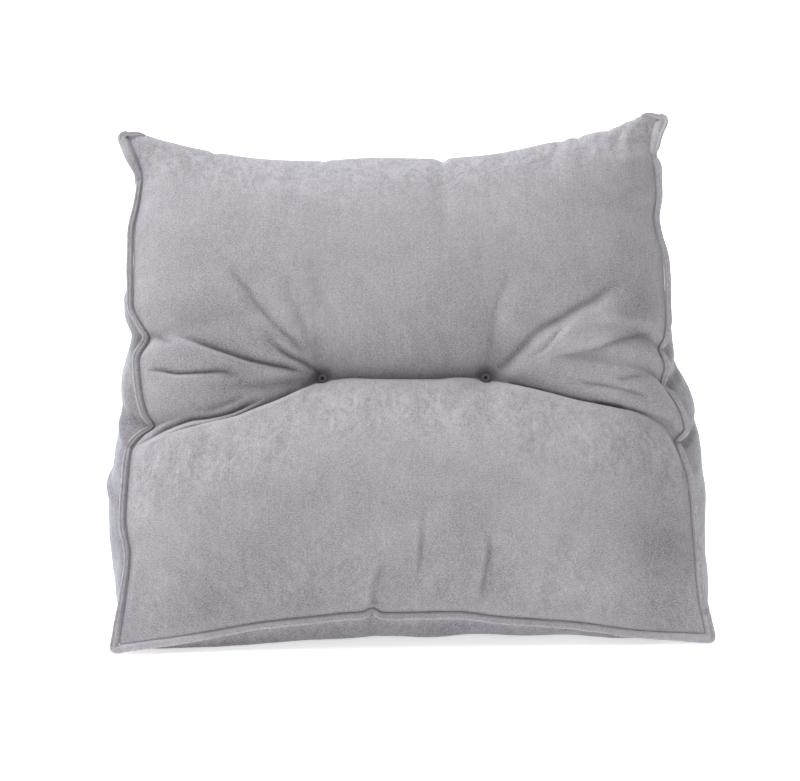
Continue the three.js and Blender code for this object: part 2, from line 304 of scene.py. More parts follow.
LEFT_SEAM = rows("up out back", [
    [6, 294, 0], [54, 288, 0], [95, 284, 0], [130, 289, 0], [185, 286, 0],
    [205, 284, 4], [219, 274, 9], [230, 262, 12], [241, 268, 8], [262, 274, 4],
    [298, 277, 1], [322, 267, 5], [336, 275, 1], [356, 284, 0], [432, 284, 0],
    [470, 278, 0], [494, 276, 0], [516, 281, 0], [541, 291, 2],
])
RIGHT_SEAM = rows("up out back", [
    [6, 294, 0], [52, 288, 0], [120, 286, 0], [160, 284, 0], [190, 277, 5],
    [204, 274, 10], [216, 284, 6], [232, 280, 3], [250, 270, 3], [262, 261, 6],
    [280, 266, 2], [301, 261, 5], [312, 267, 1], [335, 270, 0], [385, 270, 0],
    [440, 262, 1], [466, 266, 0], [495, 266, 0], [514, 262, 1], [530, 264, 1], [548, 270, 2],
])
FOOT_SEAM = rows("across up", [
    [-294, 6], [-236, 13], [-150, 26], [-106, 30], [-52, 34],
    [-27, 33], [50, 33], [85, 28], [170, 20], [237, 10], [294, 6],
])
FOOT_PEAK = (-38, 4.5, 7)  # across, height, reach: the seam is drawn up there
TOP_FOLD = rows("across up", [
    [-291, 541], [-281, 545], [-258, 538], [-215, 526], [-150, 514], [-100, 511], [-40, 513],
    [30, 511], [80, 514], [150, 527], [200, 537.5], [226, 544], [240, 551], [258, 556], [270, 549],
])
NOTCH_REACH = 5
TOP_NOTCHES = [  # across, depth
    (-203, 2.0), (-90, 1.5), (34, 5.0), (163, 2.0), (181, 2.0), (214, 1.5), (243, 1.5),
]
KINK_FADE = 14  # the swell takes no notice of a kink in a seam from this far in
CREASE = rows("across up share above wall", [
    [-284, 205, 0.22, 14, 0.6], [-247, 216, 0.25, 18, 0.6], [-225, 221.5, 0.28, 20, 0.65],
    [-212, 224, 0.3, 22, 0.7], [-193, 227.5, 0.31, 24, 0.7], [-173, 232, 0.33, 24, 0.7],
    [-160, 237, 0.35, 24, 0.7], [-130, 248, 0.39, 24, 0.7], [-113, 256, 0.47, 24, 0.6],
    [-99, 264, 0.64, 25, 0.45], [-86, 271, 0.76, 28, 0.3], [-60, 271.5, 0.72, 30, 0.3],
    [-28, 269.5, 0.7, 31, 0.3], [27, 268.5, 0.7, 32, 0.3], [55, 270.5, 0.72, 32, 0.3],
    [80, 270, 0.76, 29, 0.3], [92, 265, 0.64, 26, 0.45], [101, 261.5, 0.52, 27, 0.6],
    [115, 257.5, 0.41, 28, 0.7], [145, 249.5, 0.34, 32, 0.8], [175, 242, 0.3, 34, 0.82],
    [194, 239, 0.29, 34, 0.82], [213, 236, 0.28, 34, 0.82], [235, 232, 0.27, 28, 0.82],
    [256, 225, 0.25, 20, 0.8], [267, 218, 0.23, 16, 0.8], [279, 205, 0.22, 14, 0.8],
])
CREASE_SHARE = 0.46  # of the way up the face's grid lies below the crease


def on_face(across, up, out):
    """The foot of the face, and from there across, up the lean and out of the panel."""
    across, up, out = (np.asarray(value, float)[..., None] for value in (across, up, out))
    return FACE_FOOT + across * ACROSS + up * UP + out * OUT


print("face height on the slope:", TOP_FOLD["up"].max(), "mm")

# %% [markdown]
# ## Folds
# Each pleat that the buttons draw is a line of marks on the panel. Around it the cloth
# sinks in a trough, swells a little on both sides, and may pinch into a thin dark line.
# Sculpting by hand would give the same look, but a line with a width and a depth can be
# moved with one number. The distance from the line comes from its nearest stretch.

# %% Distance along and beside a line
def spans(marks, steps):
    """Points on a line through all marks but the first and the last, which only aim it: each
    span is a cubic that heads along its neighbours' chord."""
    before, start, end, after = marks[:-3], marks[1:-2], marks[2:-1], marks[3:]
    t = np.linspace(0, 1, steps, endpoint=False)[:, None, None]
    points = 0.5 * (
        2 * start
        + (end - before) * t
        + (2 * before - 5 * start + 4 * end - after) * t**2
        + (3 * start - before - 3 * end + after) * t**3
    )
    return points.transpose(1, 0, 2).reshape(-1, 2)


def smooth_line(marks, steps=10):
    """An open line through marks, aimed straight on past both of its ends."""
    marks = np.array(marks, float)
    aimed = np.concatenate([[2 * marks[0] - marks[1]], marks, [2 * marks[-1] - marks[-2]]])
    return np.concatenate([spans(aimed, steps), marks[-1:]])


def beside_line(line, across, up):
    """For every place: the share of the line passed at its nearest point, and the distance
    to it, positive on the line's left."""
    lengths = np.hypot(*np.diff(line, axis=0).T)
    passed = np.concatenate([[0], np.cumsum(lengths)])
    nearest = np.full(np.shape(across), np.inf)
    along, beside = np.zeros_like(nearest), np.zeros_like(nearest)
    for k, length in enumerate(lengths):
        dx, dy = (line[k + 1] - line[k]) / length
        x, y = across - line[k, 0], up - line[k, 1]
        t = np.clip(x * dx + y * dy, 0, length)
        aside = y * dx - x * dy
        far = np.hypot(x - t * dx, y - t * dy)
        closer = far < nearest
        nearest = np.where(closer, far, nearest)
        along = np.where(closer, (passed[k] + t) / passed[-1], along)
        beside = np.where(closer, np.copysign(far, aside), beside)
    return along, beside


# %% [markdown]
# Most pleats fan out from a button; others come in from a seam, drop towards the foot or
# hang from the top fold. Their marks are places (across, up) on the panel. A pleat is
# steeper on one side, where the light from above catches it: `dark` and `bright` are the
# distances over which it falls off on the two sides, from its start to its end, `ridge`
# the swell beside it, `soft` how round its bottom is, `start` and `end` the shares of its
# length over which it fades in and out, `line` how dark a thin line of painted shade in it
# is, and `lit` says which side is the bright one.

# %% The folds of the face
FOLD_COLUMNS = "depth dark dark_end bright bright_end ridge soft soft_end start end line lit"
FOLDS = {
    "left_under": ([(-100, 262), (-113, 256), (-130, 248), (-147, 242), (-160, 237), (-173, 232),
                    (-193, 227.5), (-212, 224)],
                   [3.5, 2.5, 2.5, 1.8, 1.5, 1.5, 0.9, 1, 0.25, 0.3, 0.5, 1]),
    "left_over": ([(-142, 250), (-160, 244), (-172, 239), (-184, 235), (-201, 232), (-219, 231),
                   (-236, 227), (-250, 222), (-264, 215), (-284, 206)],
                  [9, 4, 5, 1.5, 2, 3.5, 0.5, 0.6, 0.2, 0.03, 0.8, 1]),
    "left_roll": ([(-150, 257), (-168, 252), (-186, 246), (-200, 242), (-222, 240)],
                  [4, 5, 5, 3, 4, 2, 1.2, 2, 0.4, 0.4, 0.3, 1]),
    "left_high": ([(-91, 278), (-95, 281), (-107, 287), (-119, 292), (-130, 299), (-138, 306),
                   (-145, 316), (-150, 326)],
                  [5.5, 2.5, 5, 1.3, 3, 1.5, 0.4, 2, 0.04, 0.6, 0.9, 1]),
    "left_second": ([(-101, 286), (-108, 297), (-115, 307), (-131, 319), (-143, 333), (-154, 346),
                     (-162, 359), (-171, 370), (-181, 383), (-192, 397)],
                    [6.5, 9, 12, 4, 4.5, 1.5, 1.5, 2.5, 0.2, 0.35, 0.45, 1]),
    "left_third": ([(-98, 296), (-103, 320), (-111, 338), (-117, 352), (-123, 378)],
                   [4, 9, 10, 5, 5, 0.8, 2, 4, 0.25, 0.5, 0.2, 1]),
    "left_long": ([(-96, 277), (-112, 279), (-132, 282), (-152, 286), (-166, 290), (-190, 299),
                   (-210, 307), (-229, 316), (-250, 324)],
                  [7, 4, 8, 2, 2.2, 3, 0.8, 0.8, 0.2, 0.3, 0.5, 1]),
    "left_seam_high": ([(-276, 330), (-258, 321), (-246, 313), (-232, 308)],
                       [6, 4, 5, 1.6, 3, 2, 0.6, 1.5, 0.08, 0.5, 0.7, -1]),
    "left_seam_mid": ([(-276, 285), (-255, 284), (-235, 279), (-213, 278), (-189, 278),
                       (-176, 275), (-160, 268)],
                      [6, 3.5, 5, 1.4, 2.5, 2, 0.5, 1.2, 0.12, 0.4, 0.8, -1]),
    "left_soft": ([(-102, 271), (-132, 266), (-173, 263), (-200, 260), (-222, 257)],
                  [4, 6, 7, 4, 6, 1.5, 2, 4, 0.1, 0.6, 0.3, 1]),
    "middle_under": ([(-80, 271.5), (-60, 271.5), (-28, 269.5), (-3, 268.5), (27, 268.5),
                      (55, 270.5), (74, 270.5)],
                     [1.5, 1.2, 1.2, 1, 1, 0, 0.4, 0.4, 0.03, 0.03, 0.15, -1]),
    "right_under": ([(100, 262), (115, 257.5), (145, 249.5), (175, 242), (194, 239), (213, 236),
                     (235, 232), (256, 225), (267, 218), (277, 208)],
                    [2, 1, 1.2, 1, 1.2, 0, 0.4, 0.5, 0.05, 0.1, 0.8, -1]),
    "right_gap": ([(186, 240.5), (200, 238.5), (210, 237), (224, 234.5)],
                  [4, 1.4, 1.4, 1.2, 1.2, 0, 0.4, 0.4, 0.3, 0.3, 1, -1]),
    "right_tuck": ([(250, 230), (264, 224), (276, 213), (286, 199)],
                   [6, 3, 4, 1.8, 2, 2, 0.5, 0.6, 0.3, 0.1, 1, 1]),
    "right_pocket": ([(288, 178), (279, 189), (272, 202), (268, 212)],
                     [7, 3, 4, 1.6, 2, 2, 0.5, 0.6, 0.2, 0.15, 0.8, 1]),
    "right_high": ([(88, 278), (102, 285), (116, 297), (133, 313), (156, 326), (169, 334),
                    (190, 345), (205, 356), (219, 363), (241, 376)],
                   [9, 8, 15, 5, 9, 4, 1.2, 5, 0.05, 0.35, 0.5, -1]),
    "right_line": ([(120, 281), (136, 292), (149, 304), (158, 313), (167, 324)],
                   [3, 3, 3, 3, 3, 2.5, 1, 1, 0.35, 0.4, 0.35, -1]),
    "right_long": ([(136, 282), (157, 287), (178, 292), (195, 297), (217, 305),
                    (250, 316), (264, 322)],
                   [5, 9, 10, 4, 5, 2.5, 1.2, 2, 0.5, 0.15, 0.35, 1]),
    "right_patch": ([(192, 299), (217, 311), (239, 322), (258, 331)],
                    [3.5, 8, 8, 4, 5, 1, 2, 3, 0.4, 0.4, 0.2, -1]),
    "right_low": ([(165, 261), (198, 258), (213, 255), (236, 250), (256, 244)],
                  [3, 5, 5, 2, 3, 1.5, 0.8, 1, 0.3, 0.3, 0.4, -1]),
    "right_mid": ([(200, 264), (236, 268), (268, 275)],
                  [3, 4, 5, 2.5, 4, 1.5, 1, 1.5, 0.4, 0.2, 0.4, -1]),
    "right_upright": ([(83, 279), (84, 295), (85, 314), (80, 340)],
                      [3, 6, 9, 4, 7, 0.6, 1.6, 4, 0.1, 0.6, 0.2, -1]),
    "right_rise": ([(86, 290), (88, 314), (92, 338), (100, 356), (108, 380)],
                   [2.5, 7, 9, 5, 7, 1.2, 2, 3, 0.3, 0.4, 0.3, -1]),
    "drop_middle": ([(13, 138), (12, 118), (11, 104), (9, 88), (7, 73), (7, 60)],
                    [4.5, 5, 5, 1.6, 1.6, 2, 0.7, 0.7, 0.5, 0.35, 0.5, -1]),
    "drop_right": ([(79, 112), (78, 94), (76, 80), (74, 69), (71, 56), (69, 42)],
                   [5.5, 6, 6, 2, 2, 3, 0.7, 1, 0.3, 0.25, 0.45, -1]),
    "drop_left": ([(-27, 90), (-29, 77), (-34, 68), (-37, 54), (-39, 40)],
                  [4.5, 6, 6, 2, 2.5, 2.5, 1, 1, 0.4, 0.1, 0.4, -1]),
    "drop_between": ([(24, 74), (27, 60), (29, 43)],
                     [2.2, 5, 5, 3, 3, 1.5, 1.5, 1.5, 0.4, 0.3, 0.15, -1]),
    "drop_far": ([(150, 96), (146, 70), (143, 38)],
                 [1.2, 8, 8, 5, 5, 0.8, 3, 3, 0.5, 0.3, 0, 1]),
    "top_left": ([(-203, 530), (-200, 512), (-193, 492)],
                 [3, 4, 6, 3, 5, 1, 1, 4, 0.02, 0.8, 0.2, 1]),
    "top_middle": ([(34, 516), (33, 500), (29, 484)],
                   [3.5, 4, 6, 3, 5, 1, 1, 4, 0.02, 0.8, 0.3, 1]),
    "top_right": ([(163, 532), (161, 516), (155, 500)],
                  [3, 4, 6, 3, 5, 1, 1, 4, 0.02, 0.8, 0.3, 1]),
    "top_ear": ([(243, 556), (232, 538), (222, 518), (205, 500)],
                [3, 6, 9, 4, 7, 1.5, 2, 5, 0.02, 0.7, 0.2, 1]),
}


RIDGE_EDGE = 1.5  # the least distance of a ridge from its fold, and its least width
# where the thin line of painted shade in a fold lies and how wide it is; then how much light is painted on a
# ridge
CORE_ASIDE = 0.8
CORE_WIDTH = 1.6
RIDGE_PAINTED_LIGHT = 0.07  # for each millimetre that a ridge is high


def folds(across, up):
    """How far the folds sink the face, and how much shade and light they paint into its pile.
    Away from a fold's line the depth falls off by its own distance on the dark side and,
    faster, on the lit side, where the cloth also swells in a ridge about two such distances
    out. The distance is rounded near the line, and all fades in and out along it. A thin line
    of painted shade lies just beside the line, on the dark side, and a little painted light
    on the ridge."""
    depth, painted_shading = np.zeros((2, *np.shape(across)))
    for marks, sizes in FOLDS.values():
        fold = dict(zip(FOLD_COLUMNS.split(), sizes))
        along, beside = beside_line(smooth_line(marks), across, up)
        beside = beside * fold["lit"]
        soft = mix(fold["soft"], fold["soft_end"], along)
        dark = mix(fold["dark"], fold["dark_end"], along)
        bright = mix(fold["bright"], fold["bright_end"], along)
        far = np.sqrt(beside**2 + soft**2) - soft
        trough = np.exp(-far / np.where(beside < 0, dark, bright))
        ridge = bell(beside - 2 * bright - RIDGE_EDGE, 1.3 * bright + RIDGE_EDGE)
        fade = ease(along / fold["start"]) * ease((1 - along) / fold["end"])
        depth += fade * (fold["depth"] * trough - fold["ridge"] * ridge)
        # a thin line of painted shade on the dark side, less a little painted light on the ridge
        core = bell(beside + CORE_ASIDE, CORE_WIDTH + soft / 2)
        painted_shading += fade * (fold["line"] * core - RIDGE_PAINTED_LIGHT * fold["ridge"] * ridge)
    return depth, painted_shading


print("folds:", len(FOLDS))

# %% [markdown]
# ## The face: its swell
# The filling pushes the panel out in a crown that is round towards every seam. The crease
# takes most of that away along its line, steeply on the lower side, where the cloth rolls
# over, and gently above. Each button pins the cloth to a flat spot.

# %% The face
CROWN = 58.0
FOOT_ROUND = 170.0  # the crown rises from the foot over this height
TOP_ROUND = 150.0
ROLL_SHARE = 0.65  # of the lower side's roll is tight, and the rest is broad
ROLL_NEAR, ROLL_FAR = 15, 45
WALL_NEAR = 1.6
SLOPE_SHARE, SLOPE_FAR = 0.3, 60  # the broad part of the upper slope
PUCKER = 0.7  # the stitching gathers the cloth a little along the seams
PUCKER_REACH = 8
DIMPLE, DIMPLE_REACH = 10, 24  # the cloth sinks around a button
SEAT_LEVEL = -1.0
SEAT_FLAT = 5.0  # radius of the flat spot under a button
SEAT_SLOPE = 3.5
TUFTS = {"left": (-87.5, 275.0), "right": (81.0, 272.5)}


def valley(up, crease, share, reach, wall):
    """Share of the crease's full depth. Below it a wall stands nearly square, as large as
    its share says, and the rest rolls over; above it a rounded slope dies away."""
    away = np.abs(up - crease)
    roll = ROLL_SHARE * np.exp(-away / (ROLL_NEAR - 3 * share)) + (1 - ROLL_SHARE) * bell(away, ROLL_FAR)
    below = mix(roll, np.exp(-away / WALL_NEAR), wall)
    broad = SLOPE_SHARE * np.minimum(1, reach / 19)
    bottom = mix(0.35, 0.55, ease((wall - 0.3) / 0.5)) * reach
    rounded = np.hypot(away, bottom) - bottom
    above = (1 - broad) * np.exp(-rounded / reach) + broad * bell(away, SLOPE_FAR)
    return np.where(up < crease, below, above)


def rounded_up(from_foot, from_top, foot_power):
    """A crown's rise from the foot and its fall to the top, each given as 0 on its seam and
    1 where the crown is full."""
    return (1 - (1 - from_foot) ** 2) ** foot_power * (1 - (1 - from_top) ** 2.2) ** 0.6


def gathers(along, aside, size, turn, far):
    """Small waves along a seam that are highest one reach in from it."""
    return PUCKER * waves(along, aside, size, turn) * (far / PUCKER_REACH) * np.exp(1 - far / PUCKER_REACH)


def face(u, v):
    """Across, up and out of the panel for u from left to right and v from foot to top.
    Rows run between the foot seam, the crease and the top fold, and the waves of the side
    seams fade towards the middle. The crown is full where both of its roundings are; the
    crease, the folds, the gathers and the two buttons are then taken off it."""
    first, last = CREASE["across"][0], CREASE["across"][-1]
    foot_across = mix(-FOOT_HALF, FOOT_HALF, u)
    plain_foot = curve(FOOT_SEAM, "across", "up", foot_across)
    foot = plain_foot + FOOT_PEAK[1] * bell(foot_across - FOOT_PEAK[0], FOOT_PEAK[2])
    crease = curve(CREASE, "across", "up", mix(first, last, u))
    top_across = mix(TOP_FOLD["across"][0], TOP_FOLD["across"][-1], u)
    plain_top = top = curve(TOP_FOLD, "across", "up", top_across)
    for where, depth in TOP_NOTCHES:
        top = top - depth * bell(top_across - where, NOTCH_REACH)
    lower = v < CREASE_SHARE
    part = np.where(lower, v / CREASE_SHARE, (v - CREASE_SHARE) / (1 - CREASE_SHARE))

    def between(low, middle, high):
        return np.where(lower, mix(low, middle, part), mix(middle, high, part))

    up = between(foot, crease, top)
    left_up = between(LEFT_SEAM["up"][0], CREASE["up"][0], TOP_FOLD["up"][0])
    right_up = between(RIGHT_SEAM["up"][0], CREASE["up"][-1], TOP_FOLD["up"][-1])
    near_left, near_right = (1 - u) ** 5, u**5
    across = (
        mix(first, last, u)
        - (curve(LEFT_SEAM, "up", "out", left_up) + first) * near_left
        + (curve(RIGHT_SEAM, "up", "out", right_up) - last) * near_right
    )
    back = (
        curve(LEFT_SEAM, "up", "back", left_up) * near_left
        + curve(RIGHT_SEAM, "up", "back", right_up) * near_right
    )
    smooth_foot = mix(plain_foot, foot, np.exp((foot - up) / KINK_FADE))
    smooth_top = mix(plain_top, top, np.exp((up - top) / KINK_FADE))
    from_foot = np.clip((up - smooth_foot) / FOOT_ROUND, 0, 1)
    from_top = np.clip((smooth_top - up) / TOP_ROUND, 0, 1)
    round_across = arch(u) ** 0.75
    swell = round_across * rounded_up(from_foot, from_top, 0.9)
    share, reach, wall = (curve(CREASE, "across", name, across) for name in ("share", "above", "wall"))
    out = CROWN * swell * (1 - share * valley(up, crease, share, reach, wall)) - back
    room = np.clip(round_across * 2.6, 0, 1) * mix(0.3, 1, np.clip(from_top * 8, 0, 1))
    out -= folds(across, up)[0] * room
    from_side = mix(first, last, np.minimum(u, 1 - u)) - first
    out += gathers(up, across, 17, 0.0, from_side) + gathers(across, up, 19, 0.5, up - foot)
    for tuft_across, tuft_up in TUFTS.values():
        far = np.hypot(across - tuft_across, up - tuft_up)
        out -= DIMPLE * np.exp(-far / DIMPLE_REACH) * swell
        out = mix(out, SEAT_LEVEL, bell(np.maximum(0, far - SEAT_FLAT), SEAT_SLOPE))
    return across, up, out


# %% [markdown]
# ## Where the grid is fine
# Most of the face is smooth, and the crease and the pleats beside the buttons need points a
# millimetre apart. Subdividing the whole panel that far would make a very heavy mesh, and
# a grid may be uneven: steps are short where a bell over a chosen place is high.

# %% Uneven steps
def crowded(count, places, fixed=()):
    """Steps from 0 to 1 that are short near places, each given as (where, how much, how
    near). The step nearest to each fixed value is moved onto it."""
    t = np.linspace(0, 1, 4001)
    density = np.ones_like(t)
    for where, extra, near in places:
        density += extra * bell(t - where, near)
    passed = np.cumsum(density)
    passed = (passed - passed[0]) / (passed[-1] - passed[0])
    steps = np.interp(np.linspace(0, 1, count + 1), passed, t)
    for value in fixed:
        steps[np.argmin(np.abs(steps - value))] = value
    return steps


FACE_SPAN = CREASE["across"][-1] - CREASE["across"][0]
FACE_RISE = 540
PLEATS_PAST = 0.12  # the pleats lie that share of the face past each button
left_pleats = (TUFTS["left"][0] - CREASE["across"][0]) / FACE_SPAN - PLEATS_PAST
right_pleats = (TUFTS["right"][0] - CREASE["across"][0]) / FACE_SPAN + PLEATS_PAST
FINE_U = crowded(300, [(left_pleats, 1.2, 0.13), (right_pleats, 1.0, 0.13), (0, 1.0, 0.02), (1, 1.0, 0.02)])
FINE_V = crowded(280, [(CREASE_SHARE, 2.4, 0.05), (0.55, 1.2, 0.09), (0, 1.0, 0.02), (1, 0.8, 0.02)],
                 fixed=[CREASE_SHARE])
FINE_S = crowded(30, [(0, 0.8, 0.15), (1, 0.4, 0.15)])
print("shortest step up the face:", round(float(np.diff(FINE_V).min() * FACE_RISE), 2), "mm")

# %% [markdown]
# ## Back, sides and base
# The back is one plain panel between the two rear seams, the top fold and the rear foot.
# Each side is a three-cornered panel that ends in an ear at the top, and swells past the
# flange as far as its table says, so that it shows beside the face. The base is flat on
# the floor and rolls up to its seams. A patch that has to meet four given edges is found
# by adding the two ways across and taking away the corners, which were counted twice.

# %% The other panels
BACK_CROWN = 34.0
BACK_FOOT_ROUND, BACK_TOP_ROUND = 0.5, 0.35  # shares of the back's height
NOTCH_SHARPNESS = 25
REAR_DRAWN = (14, 6)  # how far a rear seam is drawn in, and back
REAR_FOOT_BOW = (6, 14)  # how far the rear foot bows in, and up off the floor
SIDE_RISE = 8  # the middle of a side's lower edge is that far off the floor
FOOT_ROLL = rows("share roll", [
    [0, 20], [0.08, 12], [0.15, 12], [0.25, 23], [0.5, 34], [0.7, 34], [1, 26],
])
ROLL_WAVES = 0.35
REAR_ROLL = 45.0
SIDE_ROLL = 40.0
LEFT_REACH = rows("height reach", [
    [0, 297], [20, 303], [40, 305], [58, 306], [75, 309], [90, 311], [107, 313], [140, 313], [155, 314.5],
    [162, 309], [170, 307], [190, 306], [219, 304], [238, 303], [255, 301.5], [272, 297.5], [289, 293.5],
    [303, 292], [320, 298], [342, 297], [355, 288], [400, 284],
])
RIGHT_REACH = rows("height reach", [
    [0, 300], [20, 306], [40, 307.5], [60, 306.5], [75, 305], [100, 304.5], [120, 305.5], [140, 306.5],
    [159, 304.5], [193, 303.5], [210, 300.5], [228, 298], [240, 295], [253, 288.5], [270, 282], [290, 281.5],
    [303, 279.5], [314, 279], [326, 276], [350, 270], [400, 268],
])


def rear_seam(side, ear, v):
    """Straight from a rear corner to its ear, drawn in and back a little on the way."""
    corner = REAR * [side, 1, 1]
    drawn = np.sin(np.pi * v)[:, None].clip(0) ** 0.9
    seam = mix(corner, ear, v[:, None]) + drawn * [-side * REAR_DRAWN[0], REAR_DRAWN[1], 0]
    seam[-1] = ear
    return seam


def back_panel(left, right, rear, top, u, v):
    """A patch between four edges, pushed back by a crown that is round towards them. Only a
    smooth course of the top fold is carried down; its notches stay at the fold."""
    across, up = u[:, None, None], v[None, :, None]
    course = top.copy()
    course[:, 1] = np.polyval(np.polyfit(u, top[:, 1], 5), u)  # it turns four times at most
    course[[0, -1]] = top[[0, -1]]
    grid = mix(left[None], right[None], across) + mix(rear[:, None], course[:, None], up)
    grid -= mix(mix(left[0], right[0], across), mix(top[0], top[-1], across), up)
    from_foot, from_top = np.clip(v / BACK_FOOT_ROUND, 0, 1), np.clip((1 - v) / BACK_TOP_ROUND, 0, 1)
    grid[..., 1] += BACK_CROWN * arch(u)[:, None] ** 0.75 * rounded_up(from_foot, from_top, 0.8)
    grid[..., 1] += (top - course)[:, None, 1] * v**NOTCH_SHARPNESS
    grid[0], grid[-1], grid[:, 0], grid[:, -1] = left, right, rear, top
    return grid


def side_panel(side, seam, rear, s, v):
    """Straight from the face's seam to the rear seam, swelling outwards in between as far
    as the reach that the table gives for the height of its middle."""
    grid = mix(seam[None], rear[None], s[:, None, None])
    rise = SIDE_RISE * (1 - v) ** 3
    grid[..., 2] += np.sin(np.pi * s).clip(0)[:, None] ** 0.8 * rise
    middle = (seam + rear) / 2
    reach = curve(LEFT_REACH if side < 0 else RIGHT_REACH, "height", "reach", middle[:, 2] + rise)
    bulge = np.maximum(reach - side * middle[:, 0], 2) * ease((1 - v) / 0.2)
    grid[..., 0] += side * bulge * arch(s)[:, None] ** 0.7
    grid[0], grid[-1], grid[:, -1] = seam, rear, seam[-1]
    return grid


def base_panel(foot, rear, left, right, u, s):
    """Flat at the floor. Near each edge it rises to its seam on a quarter circle, and the
    highest of the four rises counts."""
    grid = mix(foot[:, None], rear[:, None], s[None, :, None])
    straight_left, straight_right = grid[0].copy(), grid[-1].copy()
    grid[..., 0] += (left - straight_left)[None, :, 0] * (1 - u[:, None]) ** 6
    grid[..., 0] += (right - straight_right)[None, :, 0] * u[:, None] ** 6

    def roll(share):
        return 1 - np.sqrt(1 - (1 - np.clip(share, 0, 1)) ** 2)

    depth = (rear - foot)[:, None, 1]
    uneven = 1 + ROLL_WAVES * waves(2 * FOOT_HALF * u, 0, 80, 0.2)
    foot_roll = curve(FOOT_ROLL, "share", "roll", u) * uneven
    rises = [
        foot[:, None, 2] * roll(s * depth / foot_roll[:, None]),
        rear[:, None, 2] * roll((1 - s) * depth / REAR_ROLL),
        left[None, :, 2] * roll(u[:, None] * 2 * FOOT_HALF / SIDE_ROLL),
        right[None, :, 2] * roll((1 - u[:, None]) * 2 * FOOT_HALF / SIDE_ROLL),
    ]
    grid[..., 2] = np.maximum.reduce(np.broadcast_arrays(*rises))
    grid[0], grid[-1], grid[:, 0], grid[:, -1] = left, right, foot, rear
    return grid


def panels(u, v, s):
    """All five patches, sharing the points along their seams."""
    front = on_face(*face(*np.meshgrid(u, v, indexing="ij")))
    rear_left, rear_right = (rear_seam(side, front[end, -1], v) for side, end in [(-1, 0), (1, -1)])
    bow_in, bow_up = REAR_FOOT_BOW
    rear = mix(rear_left[0], rear_right[0], u[:, None]) + arch(u, 2.2)[:, None] * [0, -bow_in, bow_up]
    back = back_panel(rear_left, rear_right, rear, front[:, -1], u, v)
    left = side_panel(-1, front[0], rear_left, s, v)
    right = side_panel(1, front[-1], rear_right, s, v)
    base = base_panel(front[:, 0], rear, left[:, 0], right[:, 0], u, s)
    return {"front": front, "back": back, "left": left, "right": right, "base": base}


fine = panels(FINE_U, FINE_V, FINE_S)
print("panels:", {name: grid.shape[:2] for name, grid in fine.items()})

# %% [markdown]
# ## The map of the cloth
# Velour has a direction: its grain runs up each panel. The map gives every corner of a
# face its place on the flat cloth in metres, measured along the panel's own surface, so
# the grain keeps one size and follows the swell.

# %% Places on the cloth
FLIPS = {"front": False, "back": True, "left": True, "right": False, "base": True}


def cloth_map(grid, start):
    """Length along each row and up each column, from a start that no other panel uses."""
    along = np.linalg.norm(np.diff(grid, axis=0), axis=-1).cumsum(0)
    up = np.linalg.norm(np.diff(grid, axis=1), axis=-1).cumsum(1)
    along = np.concatenate([np.zeros_like(along[:1]), along])
    up = np.concatenate([np.zeros_like(up[:, :1]), up], axis=1)
    along -= along[len(along) // 2]
    return np.stack([along, up], -1) * MM + start


def cover_patches(grids):
    """Each panel with the way it faces and its own corner of the map."""
    return [
        (grid, FLIPS[name], cloth_map(grid, np.array([2.0 * k, 0.0])))
        for k, (name, grid) in enumerate(grids.items())
    ]


# %% [markdown]
# ## Filling the cover
# Cloth that is sewn flat and then filled takes shapes that no formula gives: it billows
# between the places that hold it. So a coarse copy of the cover is blown up with Blender's
# cloth, held at its seams, along the crease and at the buttons. Only its movement is kept,
# and the coarse copy is thrown away.

# %% The coarse cover
COARSE_U = np.linspace(0, 1, 84)
COARSE_V = crowded(76, [], [CREASE_SHARE])
COARSE_S = np.linspace(0, 1, 22)
PRESSURE = 4.0
FRAMES = 20
HELD_CREASE, HELD_TUFT = 16, 28  # mm over which the hold dies away
CLOTH_SETTINGS = {
    "quality": 6, "mass": 0.3, "tension_stiffness": 15, "compression_stiffness": 10,
    "shear_stiffness": 5, "bending_stiffness": 0.4, "use_pressure": True,
    "uniform_pressure_force": PRESSURE, "shrink_min": -0.03, "vertex_group_mass": "held",
}


def held(grids):
    """How firmly each point of the coarse cover is held: 1 at a seam, on the floor, at the
    crease and at the buttons, and less with the distance from the last two."""
    firm = {}
    for name, grid in grids.items():
        hold = np.zeros(grid.shape[:2])
        hold[0], hold[-1], hold[:, 0], hold[:, -1] = 1, 1, 1, 1
        if name == "front":
            across, up = grid[..., 0], (grid - FACE_FOOT) @ UP
            crease = curve(CREASE, "across", "up", across)
            hold = np.maximum(hold, bell(up - crease, HELD_CREASE))
            for tuft_across, tuft_up in TUFTS.values():
                far = np.hypot(across - tuft_across, up - tuft_up)
                hold = np.maximum(hold, bell(far, HELD_TUFT))
        if name == "base":
            hold = np.maximum(hold, grid[..., 2] < 1)
        firm[name] = hold
    return firm


def places_of(mesh):
    """The points of a mesh as one array."""
    places = np.empty(len(mesh.vertices) * 3, np.float32)
    mesh.vertices.foreach_get("co", places)
    return places.reshape(-1, 3)


